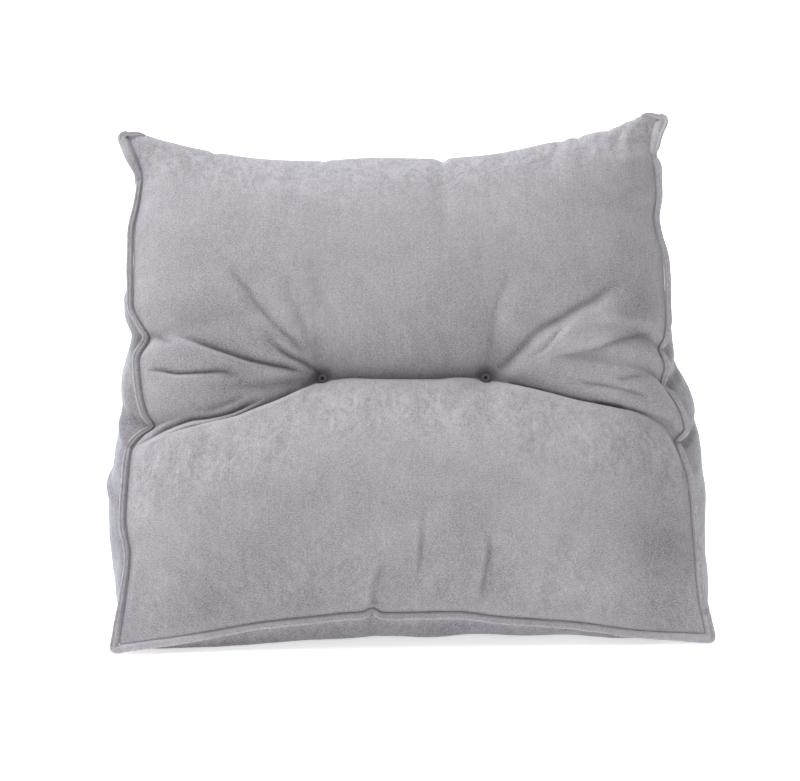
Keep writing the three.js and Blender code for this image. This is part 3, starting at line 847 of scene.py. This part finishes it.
def fill_with_cloth(grids):
    """Blows up the coarse cover for a few frames and returns how far each point moved."""
    points = np.concatenate([grid.reshape(-1, 3) for grid in grids.values()])
    firm = np.concatenate([hold.reshape(-1) for hold in held(grids).values()])
    bag = mesh_piece("filling_bag", cover_patches(grids))
    before = places_of(bag.data)
    # the same points as the mesh kept, and for each point of the grids its number there
    spots, which = np.unique(np.round(points, 3), axis=0, return_inverse=True)
    which = which.reshape(-1)
    group = bag.vertex_groups.new(name="held")
    strength = np.zeros(len(spots))
    np.maximum.at(strength, which, firm)
    strength = np.round(strength, 1)
    for level in np.unique(strength):
        group.add(np.flatnonzero(strength == level).tolist(), float(level), "REPLACE")
    cloth = bag.modifiers.new("filling", "CLOTH")
    for setting, value in CLOTH_SETTINGS.items():
        setattr(cloth.settings, setting, value)
    cloth.settings.effector_weights.gravity = 0
    cloth.collision_settings.use_collision = False
    cloth.collision_settings.use_self_collision = False
    scene = bpy.context.scene
    for number in range(1, FRAMES + 1):
        scene.frame_set(number)
    after = places_of(bag.evaluated_get(bpy.context.evaluated_depsgraph_get()).data)
    scene.frame_set(1)
    bpy.data.objects.remove(bag)
    moved = (after - before)[which] / MM
    sizes = [grid.shape[0] * grid.shape[1] for grid in grids.values()]
    parts = np.split(moved, np.cumsum(sizes)[:-1])
    print("the filling moved the cover by up to", round(float(np.abs(moved).max()), 1), "mm")
    return {name: part.reshape(grids[name].shape) for name, part in zip(grids, parts)}


# %% [markdown]
# ## Carrying the movement over
# A fine copy could be filled itself, but cloth takes longer the finer it is, and it would
# add wrinkles of its own over the folds. So the coarse movement is smoothed, capped, faded
# out at the seams and added to the fine panels. The base stays flat on the floor.

# %% Carrying the movement to the fine panels
MOST = 7.0  # mm that a point may move, before the share is taken
MOVED_SHARE = 0.5


def spline_weights(fine_steps, coarse_steps):
    """For each fine step, how much each coarse step counts: a smooth bell four steps wide."""
    number = np.arange(len(coarse_steps))
    place = np.interp(fine_steps, coarse_steps, number)
    apart = np.abs(place[:, None] - number)
    near = 2 / 3 - apart**2 + apart**3 / 2
    far = (2 - apart) ** 3 / 6
    weights = np.where(apart < 1, near, np.where(apart < 2, far, 0))
    return weights / weights.sum(1, keepdims=True)


def carry(moved, steps, coarse_steps):
    """Movement at the fine steps, each size capped with a soft limit."""
    weights = [spline_weights(f, c) for f, c in zip(steps, coarse_steps)]
    finer = np.einsum("ia,jb,abk->ijk", weights[0], weights[1], moved)
    size = np.linalg.norm(finer, axis=-1, keepdims=True)
    return finer * MOST * np.tanh(size / MOST) / np.maximum(size, 1e-6)


def edge_fade(count_a, count_b, steps=8):
    """0 on the edge of a grid, 1 from so many steps in."""
    def one(count):
        number = np.arange(count)
        return ease(np.minimum(number, number[::-1]) / steps)

    return one(count_a)[:, None] * one(count_b)[None]


WIDE = (FINE_U, FINE_V), (COARSE_U, COARSE_V)
NARROW = (FINE_S, FINE_V), (COARSE_S, COARSE_V)

moved = fill_with_cloth(panels(COARSE_U, COARSE_V, COARSE_S))
for name, steps in {"front": WIDE, "back": WIDE, "left": NARROW, "right": NARROW}.items():
    fade = edge_fade(*fine[name].shape[:2])[..., None]
    fine[name] += MOVED_SHARE * carry(moved[name], *steps) * fade

# %% [markdown]
# ## The cover
# One closed piece stands for the body. It is filled but soft.
# Shade and light are painted into the pile: darker in the folds, above the crease, towards
# the right and on the sides and base, paler on lit ridges, on the lip under the crease and
# at the foot seam. A painter would brush that on by hand; here it is a number at every
# point, worked out from the folds, the crease, the seams and a short list of places, and
# the material reads it.

# %% The cover as one piece
PAINTED_SHADE_SPOTS = [  # across, up, reach, and how much shade is painted there; below 0, light is painted
    (-190, 302, 30, 0.45), (-132, 284, 20, 0.35), (-172, 278, 22, 0.45), (-165, 334, 22, 0.3),
    (-100, 300, 16, 0.3), (243, 330, 28, 0.8), (78, 326, 18, 0.3), (96, 296, 16, 0.3),
    (20, 296, 50, 0.12), (-215, 330, 26, 0.25), (-270, 240, 30, 0.2), (-262, 304, 26, 0.45),
    (50, 345, 40, 0.1), (-240, 370, 60, 0.2), (200, 358, 30, 0.2), (-155, 165, 60, 0.25),
    (-256, 170, 40, 0.25), (-130, 60, 70, 0.45), (60, 80, 60, 0.25), (290, 90, 60, 0.75),
    (165, 215, 40, -0.25), (241, 412, 30, 0.25), (290, 190, 45, 0.3), (-165, 385, 34, 0.2),
    (-134, 308, 22, 0.25), (0, 75, 45, 0.15), (-230, 40, 45, 0.35), (250, 130, 60, 0.15),
]
# painted shade on the side panels and the base, and a painted contact shadow along the floor
PANEL_PAINTED_SHADE = {"left": 0.9, "right": 0.3, "back": 0.0, "base": 0.55}
CONTACT_PAINTED_SHADE, CONTACT_SHADE_REACH = 0.7, 3
EVEN_RUFFLED = 0.5


def over(seam, grid):
    """Across and up on the face, and how far up each point is from a seam."""
    across, up = grid[..., 0], (grid - FACE_FOOT) @ UP
    return across, up, up - curve(seam, "across", "up", across)


def face_painted_shading(grid):
    """Painted shade and light: up to 1 of painted shade in a fold, and below 0 where light is
    painted. Light is painted in the middle of the crease, on the lip that rolls over under
    it, well below it and at the foot seam and the lower left. Shade is painted just above
    the crease, above the foot, towards the right side and at the listed places. All fades at
    the side seams."""
    across, up, over_crease = over(CREASE, grid)
    deep = ease((curve(CREASE, "across", "share", across) - 0.4) / 0.4)
    below, above = np.exp(np.minimum(over_crease, 0)), np.exp(-over_crease.clip(0) / mix(2, 9, deep))
    lip = np.where(over_crease < 0, bell(over_crease + 6, 6), 0)
    near_foot = np.abs(over(FOOT_SEAM, grid)[2])
    # each term paints shade into the pile above 0 and light below 0
    terms = [
        folds(across, up)[1],
        mix(0.1, -0.3, deep) * np.where(over_crease < 0, below, above),
        -0.25 * lip,
        mix(0.3, 0.1, ease((across - 90) / 60)) * bell(over_crease - 24, 26),
        -0.22 * bell(over_crease + 60, 48),
        *(amount * bell(np.hypot(across - x, up - y), reach) for x, y, reach, amount in PAINTED_SHADE_SPOTS),
        0.3 * ease((across - 190) / 80),
        -0.2 * ease((-across - 130) / 130) * ease((150 - up) / 100),
        0.3 * np.exp(-near_foot / 35) - 0.6 * np.exp(-near_foot / 5),
    ]
    return np.clip(sum(terms), -0.5, 1.1) * arch(FINE_U, 10)[:, None]


def face_ruffled(grid):
    """Where the pile has been rubbed both ways: along the top fold, under the crease and a
    little above the foot."""
    under_crease = bell(over(CREASE, grid)[2] + 38, 34)
    under_top = bell(over(TOP_FOLD, grid)[2] + 14, 30)
    over_foot = 0.35 * bell(over(FOOT_SEAM, grid)[2] - 30, 34)
    return np.maximum.reduce([under_crease, under_top, over_foot])


def painted_shading_note(name, grid):
    """The face has its own painted shading. Shade is painted on the side panels and the base, and a painted
    contact shadow makes the base darkest on the floor.
    """
    if name == "front":
        return face_painted_shading(grid)
    # a painted contact shadow, darkest where the base lies on the floor
    contact_shade = CONTACT_PAINTED_SHADE * np.exp(-grid[..., 2] / CONTACT_SHADE_REACH) if name == "base" else 0
    return PANEL_PAINTED_SHADE[name] + contact_shade + np.zeros(grid.shape[:2])


def ruffled_note(name, grid):
    """The other panels are ruffled evenly."""
    return face_ruffled(grid) if name == "front" else np.full(grid.shape[:2], EVEN_RUFFLED)


# painted shade and light, and how ruffled the pile is, for every panel
painted_shading, ruffled = (
    [note(name, grid) for name, grid in fine.items()] for note in (painted_shading_note, ruffled_note)
)
cover = mesh_piece("cushion_cover", cover_patches(fine), {"painted_shading": painted_shading, "ruffled": ruffled})
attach(cover, "root")
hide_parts("cushion_body")

# %% [markdown]
# ## The flange
# The flange is the seam allowance turned out and topstitched: two padded layers of velour
# that stand out along the left side, the foot and the right side, in one run. It leans a
# little forward. Two borders of ordinary extrusion would meet badly at the corners, so one
# section is carried along the whole run, and at a corner it fans round on one spot. Past
# each ear it goes on a little way along the top fold and dies away.

# %% The run of the flange
GAP = 0.3
TUCK = 2.0  # how far the flange reaches over the cover at an ear
TUCK_STARTS, TUCK_FULL = 486, 500  # up the seam
STITCH_PITCH = 3.4
STATION = STITCH_PITCH / 4
TAIL = 22  # stations along the top fold
TAIL_SUNK = 1.3
SQUARENESS = 3.5  # 2 would make a round corner
CORNER_FAN = np.radians(np.arange(3, 90, 4))
EAR_NARROW = 0.3
LEFT_WIDTH = rows("up width lean", [
    [6, 9, 8], [40, 7.6, 18], [76, 6.4, 26], [106, 7, 28], [148, 7.4, 28], [183, 8, 30], [211, 7.6, 30],
    [231, 5.5, 30], [245, 8.2, 30], [289, 8, 30], [318, 8.6, 30], [331, 6.2, 28], [345, 6.4, 25],
    [396, 7.6, 25], [441, 7.4, 28], [463, 7, 32], [493, 6, 30], [503, 10, 32], [522, 13, 26], [541, 12.5, 14],
])
RIGHT_WIDTH = rows("up width lean", [
    [6, 9.5, 8], [48, 8, 16], [80, 8.2, 22], [120, 7.4, 26], [160, 7, 26], [204, 6, 30], [232, 6.4, 30],
    [262, 5.4, 30], [285, 6.4, 28], [304, 5.6, 28], [344, 6.2, 26], [392, 7.2, 26], [440, 6.6, 26],
    [480, 7, 32], [494, 7.4, 34], [508, 6.4, 30], [519, 10, 26], [530, 11, 22], [548, 12.5, 12],
])
FOOT_WIDTH = rows("across width lean", [
    [-294, 9, 8], [-240, 8.2, 10], [-150, 7.6, 12], [-52, 8, 14], [-40, 6.4, 20], [-27, 8, 14],
    [60, 8, 12], [170, 7.8, 12], [240, 8.2, 10], [294, 9.5, 8],
])
LEFT_PLEATS = [(493, 1.4, 2.5), (314, 1.2, 2.2), (207, 1.3, 2.2), (166, 0.9, 2.0)]  # up, depth, reach
RIGHT_PLEATS = [(508, 1.5, 2.5), (300, 0.7, 2.5), (204, 1.0, 2.5), (27, 1.3, 2.2)]
FOOT_PLEATS = [(-40, 1.6, 2.5), (60, -0.5, 5.0), (174, -0.6, 6.0), (-190, 0.5, 4.0), (120, 0.5, 4.0)]


def stations(line):
    """A line cut afresh into equal steps: a whole number of stitches."""
    passed = np.concatenate([[0], np.cumsum(np.linalg.norm(np.diff(line, axis=0), axis=1))])
    count = 4 * int(round(passed[-1] / STITCH_PITCH))
    at = np.linspace(0, passed[-1], count + 1)
    return np.stack([np.interp(at, passed, line[:, k]) for k in range(3)], -1)


def heading(line, reach=8.0):
    """The angle of the seam's outward side in the face's plane, averaged over a reach so
    that the free edge doesn't cross itself in a tight bend."""
    ahead = np.gradient(line, axis=0)
    angle = np.unwrap(np.arctan2(-(ahead @ ACROSS), ahead @ UP))
    half = int(reach / STATION)
    bell = np.cos(np.linspace(-np.pi / 2, np.pi / 2, 2 * half + 3))[1:-1] ** 2
    return np.convolve(np.pad(angle, half, mode="edge"), bell / bell.sum(), "valid")


def pleated(place, pleats):
    """How deep the short pleats across the flange dent it at each place."""
    return sum(depth * bell(place - where, reach) for where, depth, reach in pleats)


def side_run(line, table, by, place, pleats):
    """Root, angle, width, lean, dent and tuck at each station of one seam. Near an ear the
    flange is tucked a little way over the thin tip of the cover."""
    tuck = TUCK * ease((place - TUCK_STARTS) / (TUCK_FULL - TUCK_STARTS)) if by == "up" else 0 * place
    return {
        "root": line, "angle": heading(line), "width": curve(table, by, "width", place),
        "lean": np.radians(curve(table, by, "lean", place)), "dent": pleated(place, pleats),
        "tuck": tuck,
    }


def fan(before, after, turn, narrow=1.0):
    """Stations that turn on the spot between two runs. The free edge draws a corner that is
    nearly square, or with a low `narrow` the rounder tip of an ear."""
    share = turn / (np.pi / 2)
    changing = ("angle", "width", "lean", "tuck")
    corner = {name: mix(before[name][-1], after[name][0], share) for name in changing}
    square = (np.abs(np.cos(turn)) ** SQUARENESS + np.abs(np.sin(turn)) ** SQUARENESS) ** (-1 / SQUARENESS)
    corner["width"] = corner["width"] * mix(1, square, narrow)
    return corner | {"root": np.repeat(before["root"][-1:], len(turn), axis=0), "dent": 0 * turn}


front = fine["front"]
seam_left, seam_foot, seam_right = (stations(line) for line in (front[0][::-1], front[:, 0], front[-1]))
run_left = side_run(seam_left, LEFT_WIDTH, "up", (seam_left - FACE_FOOT) @ UP, LEFT_PLEATS)
run_foot = side_run(seam_foot, FOOT_WIDTH, "across", seam_foot[:, 0], FOOT_PLEATS)
run_right = side_run(seam_right, RIGHT_WIDTH, "up", (seam_right - FACE_FOOT) @ UP, RIGHT_PLEATS)


def tail(line, width, lean, turns=0):
    """The flange past an ear: it runs on along the top fold, sunk a little between the two
    panels, and dies away. Width marks are (share of its length, width). The tail before
    the run starts a full turn back, so that the angles go on evenly."""
    share = np.linspace(0, 1, len(line))
    sunk = TAIL_SUNK * ease(6 * (1 - share if turns else share))
    return {"root": line - sunk[:, None] * UP, "angle": heading(line, 3.0) + turns * 2 * np.pi,
            "width": np.interp(share, *np.array(width).T), "lean": np.full(len(line), np.radians(lean)),
            "dent": 0 * share, "tuck": TUCK + 0 * share}


top_fold = stations(front[::-1, -1])
tail_right = tail(top_fold[:TAIL], [(0, 10), (0.35, 7.5), (0.7, 4), (1, 1.6)], 12)
tail_left = tail(top_fold[-TAIL:], [(0, 1.6), (0.4, 4), (0.75, 6.5), (1, 8)], 14, -1)
parts = [
    tail_left, fan(tail_left, run_left, CORNER_FAN, EAR_NARROW),
    run_left, fan(run_left, run_foot, CORNER_FAN),
    run_foot, fan(run_foot, run_right, CORNER_FAN),
    run_right, fan(run_right, tail_right, CORNER_FAN, EAR_NARROW),
    tail_right,
]
run = {name: np.concatenate([part[name] for part in parts]) for name in run_left}
print("flange stations:", len(run["width"]))

# %% [markdown]
# ## The flange's section
# Cut across, the flange shows a fat inner ridge, a dent where its two layers are joined and
# a thin outer lip. A bevelled curve could carry such a section too, and scale and turn it
# on the way, but not pucker a part of it. The marks below draw the closed outline as shares
# of the width and heights over its middle. Along the run the stitches gather the inner
# ridge into scallops.

# %% The flange as one piece
def outline(marks, steps):
    """A closed smooth line through marks."""
    return spans(np.array(marks[-1:] + marks + marks[:2]), steps)


SECTION = [  # share of the width, height
    (0.02, 0.4), (0.12, 1.25), (0.30, 2.1), (0.48, 2.1), (0.63, 1.35), (0.71, 0.7), (0.78, 0.95),
    (0.89, 1.15), (0.98, 0.5), (1.0, -0.4), (0.92, -1.0), (0.75, -1.4), (0.45, -1.7),
    (0.2, -1.3), (0.06, -0.6),
]
SECTION_SHARE, SECTION_HEIGHT = outline(SECTION, steps=2).T
ON_TOP = SECTION_HEIGHT > 0
LEAN_WAVE = np.radians(5)
WIDTH_WAVE = 0.05
SCALLOP = 0.3  # of the inner ridge's height is lost at each stitch
FOOT_FILLED = 0.9  # along the foot the groove between the two ridges is nearly filled




def at_foot(run):
    """1 where the flange points down from the foot, and 0 where it points sideways or up."""
    return ease(-np.sin(run["angle"]))[:, None]


def flange_grid(run):
    """The section at every station: its share goes out along the leaning flange and its
    height stands across it. Scallops, pleats and slow waves change both a little."""
    passed = np.arange(len(run["width"])) * STATION
    cos, sin = np.cos(run["angle"])[:, None], np.sin(run["angle"])[:, None]
    outward = cos * ACROSS + sin * UP
    lean = (run["lean"] + LEAN_WAVE * waves(passed, 0, 70, 0.3))[:, None]
    away = np.cos(lean) * outward + np.sin(lean) * OUT
    rise = -np.sin(lean) * outward + np.cos(lean) * OUT
    tuck, dent = run["tuck"][:, None], run["dent"][:, None]
    width = run["width"][:, None] * (1 + WIDTH_WAVE * waves(passed, 0, 38, 0.9))[:, None] - 0.5 * dent
    reach = GAP - tuck + (width + tuck) * SECTION_SHARE
    at_stitch = 1 - np.sin(np.pi * passed / STITCH_PITCH)[:, None] ** 2
    inner = bell(SECTION_SHARE - 0.2, 0.16) * ON_TOP
    groove = bell(SECTION_SHARE - 0.72, 0.1) * ON_TOP
    tall = SECTION_HEIGHT * (1 - SCALLOP * inner * at_stitch) - dent * ON_TOP * SECTION_SHARE
    tall += FOOT_FILLED * at_foot(run) * groove
    grid = run["root"][:, None] + reach[..., None] * away[:, None] + tall[..., None] * rise[:, None]
    return grid, away, rise


def flange_shading_note(run):
    """Painted shade and light on the flange. Along the left side shade is painted on the inner
    ridge and light on the lip, most of all under the ear, and every pleat gets painted shade.
    Along the foot light is painted on the top and shade on the underside."""
    across, up = run["root"] @ ACROSS, (run["root"] - FACE_FOOT) @ UP
    left = ease((-across - 240) / 30) * ease((up - 10) / 30)
    under_ear = left * ease((up - 492) / 14) * ease(-2 * np.cos(run["angle"]) - 0.4)
    inner = bell(SECTION_SHARE - 0.25, 0.22) * ON_TOP
    lip = bell(SECTION_SHARE - 0.9, 0.14)
    along_foot = 1.1 * (SECTION_HEIGHT < -0.6) - 0.35 * inner - 0.25
    # painted shade on the inner ridge and in the pleats, painted light on the lip, and at the foot painted
    # light on top and shade underneath
    note = ((0.35 * left + 0.6 * under_ear)[:, None] * inner - (0.1 + 0.25 * left)[:, None] * lip
            + 0.35 * np.clip(run["dent"], 0, 1)[:, None] + at_foot(run) * along_foot)
    note = np.concatenate([note, note[:, :1]], axis=1)
    return np.concatenate([note[:1], note, note[-1:]])


def closed_run(grid):
    """Both ends drawn to a point, and each section closed."""
    ends = [np.broadcast_to(grid[end].mean(0), (1, *grid.shape[1:])) for end in (0, -1)]
    grid = np.concatenate([ends[0], grid, ends[1]])
    return np.concatenate([grid, grid[:, :1]], axis=1)


FLANGE_MAP_START = np.array([0.0, 12.0])
FLANGE_RUFFLED = 0.3
section_grid, flange_away, flange_rise = flange_grid(run)
flange_closed = closed_run(section_grid)
flange_painted_shading = flange_shading_note(run)
flange = mesh_piece(
    "flange", [(flange_closed, True, cloth_map(flange_closed, FLANGE_MAP_START))],
    {"painted_shading": [flange_painted_shading], "ruffled": [np.full_like(flange_painted_shading, FLANGE_RUFFLED)]},
)
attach(flange, "root")
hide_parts("flange_left", "flange_right", "flange_foot")

# %% [markdown]
# ## The topstitching
# One row of stitches runs along the flange beside the face. A stitch is a short bead of
# thread that dips into the cloth at both ends. Copies of one bead along a curve would do
# as well. Here all of them are one mesh, worked out as one array: stitches, then rings
# along each, then points round each ring.

# %% Topstitches
STITCH = 2.5
THREAD_RADIUS = 0.3
THREAD_ARCH = 0.3
STITCH_SHARE = 0.1  # of the flange's width, from the face
STITCH_RISE = 1.0
ROW_STARTS = 6
STITCH_RINGS, THREAD_SIDES = 6, 6


def once_round(sides):
    """Cosines and sines of a full turn; the last angle is the first again, so it closes."""
    turn = np.linspace(0, 2 * np.pi, sides + 1)
    turn[-1] = 0
    return np.cos(turn)[:, None], np.sin(turn)[:, None]


def topstitches():
    """Beads along the row: the middle of each follows the line and arches a little over it,
    and its radius swells from a quarter at the ends."""
    line = (run["root"] + (GAP + STITCH_SHARE * run["width"])[:, None] * flange_away
            + STITCH_RISE * flange_rise)
    passed = np.concatenate([[0], np.cumsum(np.linalg.norm(np.diff(line, axis=0), axis=1))])
    starts = np.arange(ROW_STARTS, passed[-1] - ROW_STARTS, STITCH_PITCH)
    along = np.linspace(0, 1, STITCH_RINGS)
    where = starts[:, None] + along * STITCH
    centre, side, front = (
        np.stack([np.interp(where, passed, values[:, k]) for k in range(3)], -1)
        for values in (line, flange_away, flange_rise))
    bend = np.sin(np.pi * along).clip(0)
    centre = centre + THREAD_ARCH * (bend - 0.5)[:, None] * front
    radius = THREAD_RADIUS * mix(0.25, 1, bend**0.5)
    cos, sin = once_round(THREAD_SIDES)
    ring = side[..., None, :] * cos + front[..., None, :] * sin
    return centre[..., None, :] + radius[:, None, None] * ring


def joined(name, tubes):
    """Many small tubes of one size as one mesh, each closed at both ends by its middle."""
    ends = tubes[:, [0, -1]].mean(2, keepdims=True)
    first, last = (np.broadcast_to(ends[:, k], tubes[:, 0].shape)[:, None] for k in (0, 1))
    tubes = np.concatenate([first, tubes, last], axis=1)
    blank = np.zeros((*tubes.shape[1:3], 2))
    piece = mesh_piece(name, [(tube, False, blank) for tube in tubes])
    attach(piece, "root")
    return piece


topstitching = joined("topstitching", topstitches())

# %% [markdown]
# ## The buttons
# Each button is a small disc with a raised rim and a dished middle, where it is sewn
# through; the shade in its sewing hole is painted on, nearly black. A torus and a disc would
# leave a seam between them, so one profile is turned round an axis, as on a lathe. A number
# at every point tells the material where that shade is painted.

# %% The buttons
BUTTON_PROFILE = rows("step radius height", [
    [0, 0.0, 0.2], [1, 1.3, 0.2], [2, 1.8, 0.8], [3, 2.2, 1.9], [4, 3.0, 2.4],
    [5, 3.9, 2.1], [6, 4.4, 1.3], [7, 4.2, 0.4], [8, 3.4, 0.0], [9, 0.0, 0.0],
])
HOLE_SHADE_RADIUS = 2


def turned(place, profile, steps=45, sides=40):
    """A profile turned about the panel's outward direction, starting and ending on it."""
    step = np.linspace(0, profile["step"][-1], steps)
    radius = curve(profile, "step", "radius", step).clip(0)
    radius[0] = radius[-1] = 0
    height = curve(profile, "step", "height", step)
    cos, sin = once_round(sides)
    ring = cos * ACROSS + sin * UP
    return place + radius[:, None, None] * ring + height[:, None, None] * OUT


buttons = {}
for side, (tuft_across, tuft_up) in TUFTS.items():
    place = on_face(tuft_across, tuft_up, SEAT_LEVEL + GAP)
    grid = turned(place, BUTTON_PROFILE)
    from_middle = np.linalg.norm(np.cross(grid - place, OUT), axis=-1)
    # the place where the sewing hole's shade is painted, nearly black
    hole_shade = np.exp(-((from_middle / HOLE_SHADE_RADIUS) ** 6))
    piece = mesh_piece(f"{side}_button", [(grid, False, grid[..., :2] * MM)], {"hole_shade": [hole_shade]})
    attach(piece, "root")
    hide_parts(f"button_{side}")
    buttons[side] = piece

# %% [markdown]
# ## Velour
# Velour is a short brushed pile. It scatters light softly and brightens where it is seen
# edge on, which the shader's sheen gives. Where a hand has brushed it the other way it is
# a little lighter or darker, in blotches a few centimetres across, and up close the pile
# stands in fine upright streaks. Blotches come from noise in the room's coordinates and
# streaks from noise on the map, stretched along the cloth.

# %% Helpers for materials
PILE_DARK = (0.235, 0.217, 0.238, 1)
PILE_LIGHT = (0.490, 0.462, 0.492, 1)


def dial(node, **values):
    """Sets a node's sockets: each name is the socket's own, with _ for a space."""
    for name, value in values.items():
        node.inputs[name.replace("_", " ")].default_value = value


def new_material(name, **values):
    """A material with its node tree, and the Principled shader in it with sockets set."""
    material = bpy.data.materials.new(name)
    material.use_nodes = True
    tree = material.node_tree
    shader = tree.nodes["Principled BSDF"]
    dial(shader, **values)
    return material, tree, shader


def room_places(tree):
    """The places of the piece's points in metres. The piece sits at the origin, unturned."""
    return tree.nodes.new("ShaderNodeTexCoord").outputs["Object"]


def noted(tree, name):
    """A number that the mesh carries at every point."""
    node = tree.nodes.new("ShaderNodeAttribute")
    node.attribute_name = name
    return node.outputs["Fac"]


def noise(tree, coordinates, scale, detail=3.0, roughness=0.5, distortion=0.0, stretch=(1, 1, 1)):
    """A noise pattern whose scale counts features per metre, stretched before it is read."""
    mapping = tree.nodes.new("ShaderNodeMapping")
    dial(mapping, Scale=stretch)
    tree.links.new(coordinates, mapping.inputs["Vector"])
    node = tree.nodes.new("ShaderNodeTexNoise")
    dial(node, Scale=scale, Detail=detail, Roughness=roughness, Distortion=distortion)
    tree.links.new(mapping.outputs["Vector"], node.inputs["Vector"])
    return node.outputs["Fac"]


def weighed(tree, parts, start=0.5, middle=0.5):
    """Start plus a sum of patterns, each less its middle and times its weight."""
    total = start
    for pattern, weight, *own in parts:
        shift = weight * (own[0] if own else middle)
        less = total - shift if isinstance(total, float) else calculated(tree, "SUBTRACT", total, shift)
        total = calculated(tree, "MULTIPLY_ADD", pattern, weight, less)
    return total


def blended(tree, factor, first, second, clamped=True):
    """A colour between two, of which the first may be another node's output."""
    node = tree.nodes.new("ShaderNodeMix")
    node.data_type = "RGBA"
    node.clamp_factor = clamped
    tree.links.new(factor, node.inputs["Factor"])
    first_colour, second_colour, result = node.inputs[6], node.inputs[7], node.outputs[2]
    second_colour.default_value = second
    if isinstance(first, tuple):
        first_colour.default_value = first
    else:
        tree.links.new(first, first_colour)
    return result


# %% [markdown]
# Five patterns are weighed up into one tone between a dark and a light pile: brushed
# blotches, strokes, mottle, upright ribs and a fine speckle. Where a point is noted as
# ruffled the strokes and mottle count more. Where shade is painted into the mesh the tone
# goes down, and where light is painted it goes up. The speckle, mottle and strokes also
# raise the surface a little.

# %% The velour itself
def velour():
    """Pile whose tone and height come from the patterns and from the mesh's own notes."""
    material, tree, shader = new_material(
        "velour", Roughness=0.95, Specular_IOR_Level=0.2,
        Sheen_Weight=0.45, Sheen_Roughness=0.4, Sheen_Tint=(0.8, 0.93, 1.0, 1),
    )
    places = room_places(tree)
    chart = tree.nodes.new("ShaderNodeUVMap")
    chart.uv_map = "cloth"
    cloth = chart.outputs["UV"]
    brushed = noise(tree, places, 13, 5, 0.62, 0.8)
    strokes = noise(tree, cloth, 60, 4, 0.65, 1.6, (1, 0.6, 1))
    mottle = noise(tree, places, 210, 2, 0.6, 0.4)
    ribs = noise(tree, cloth, 420, 1, 0.5, 0, (1, 0.05, 1))
    speckle = noise(tree, cloth, 540, 2, 0.75, 0, (0.9, 1.6, 1))
    rubbed = calculated(
        tree, "MULTIPLY", weighed(tree, [(strokes, 0.9), (mottle, 0.45)], 0.0), noted(tree, "ruffled"))
    # painted shade in the mesh lowers the tone, and painted light raises it
    tone = weighed(tree, [
        (brushed, 0.6), (strokes, 0.3), (mottle, 0.35), (ribs, 0.2), (speckle, 2.15),
        (rubbed, 1.0, 0.0), (noted(tree, "painted_shading"), -0.6, 0.0),
    ])
    colour = blended(tree, tone, PILE_DARK, PILE_LIGHT, clamped=False)
    tree.links.new(colour, shader.inputs["Base Color"])
    height = weighed(tree, [(speckle, 0.8), (mottle, 0.35), (strokes, 0.4)])
    bump = tree.nodes.new("ShaderNodeBump")
    dial(bump, Strength=0.5, Distance=0.001)
    tree.links.new(height, bump.inputs["Height"])
    tree.links.new(bump.outputs["Normal"], shader.inputs["Normal"])
    return material


velour_cloth = velour()
for piece in (cover, flange):
    piece.data.materials.append(velour_cloth)
print("velour:", len(velour_cloth.node_tree.nodes), "nodes")

# %% [markdown]
# ## Thread, button and paper
# The thread is the cloth's own grey with a faint twist. The button is dull moulded plastic
# with a fine speckle. The paper floor is nearly white, and glows: painted light that is
# weaker near the cushion, so that only the cushion's own soft shadow marks it. Stronger
# lamps would whiten the paper too, but they would also whiten the cloth.

# %% The other materials
THREAD_DARK = (0.26, 0.245, 0.26, 1)
THREAD_LIGHT = (0.44, 0.42, 0.44, 1)
BUTTON_DARK = (0.34, 0.335, 0.342, 1)
BUTTON_LIGHT = (0.5, 0.49, 0.5, 1)
# painted shade of the sewing hole
BUTTON_HOLE_SHADE = (0.05, 0.049, 0.05, 1)
PAPER_NEAR, PAPER_FAR = 0.27, 0.35  # metres from the middle
# painted light: how strongly the paper glows near the cushion and far from it
GLOW_NEAR, GLOW_FAR = 0.55, 0.8


def thread():
    """Grey that varies finely, as the light and dark sides of a twist do."""
    material, tree, shader = new_material("thread", Roughness=0.6, Sheen_Weight=0.2)
    colour = blended(tree, noise(tree, room_places(tree), 900, 2), THREAD_DARK, THREAD_LIGHT)
    tree.links.new(colour, shader.inputs["Base Color"])
    return material


def button_plastic():
    """Speckled grey, and painted shade, nearly black, in the sewing hole at the button's middle."""
    material, tree, shader = new_material("button_plastic", Roughness=0.55)
    speckled = blended(tree, noise(tree, room_places(tree), 1400, 3), BUTTON_DARK, BUTTON_LIGHT)
    colour = blended(tree, noted(tree, "hole_shade"), speckled, BUTTON_HOLE_SHADE)
    tree.links.new(colour, shader.inputs["Base Color"])
    return material


def studio_paper():
    """White paper with painted light: it glows, more away from the cushion, so that the cushion's shadow
    fades out there.
    """
    material, tree, shader = new_material(
        "studio_paper", Base_Color=(0.93, 0.93, 0.93, 1), Emission_Color=(1, 1, 1, 1),
        Roughness=1.0, Specular_IOR_Level=0.0,
    )
    far = tree.nodes.new("ShaderNodeVectorMath")
    far.operation = "LENGTH"
    tree.links.new(room_places(tree), far.inputs[0])
    glow = tree.nodes.new("ShaderNodeMapRange")
    dial(glow, From_Min=PAPER_NEAR, From_Max=PAPER_FAR, To_Min=GLOW_NEAR, To_Max=GLOW_FAR)
    tree.links.new(far.outputs["Value"], glow.inputs["Value"])
    tree.links.new(glow.outputs["Result"], shader.inputs["Emission Strength"])
    return material


topstitching.data.materials.append(thread())
plastic = button_plastic()
for piece in buttons.values():
    piece.data.materials.append(plastic)
floor.data.materials.append(studio_paper())
print("materials:", sorted(material.name for material in bpy.data.materials))
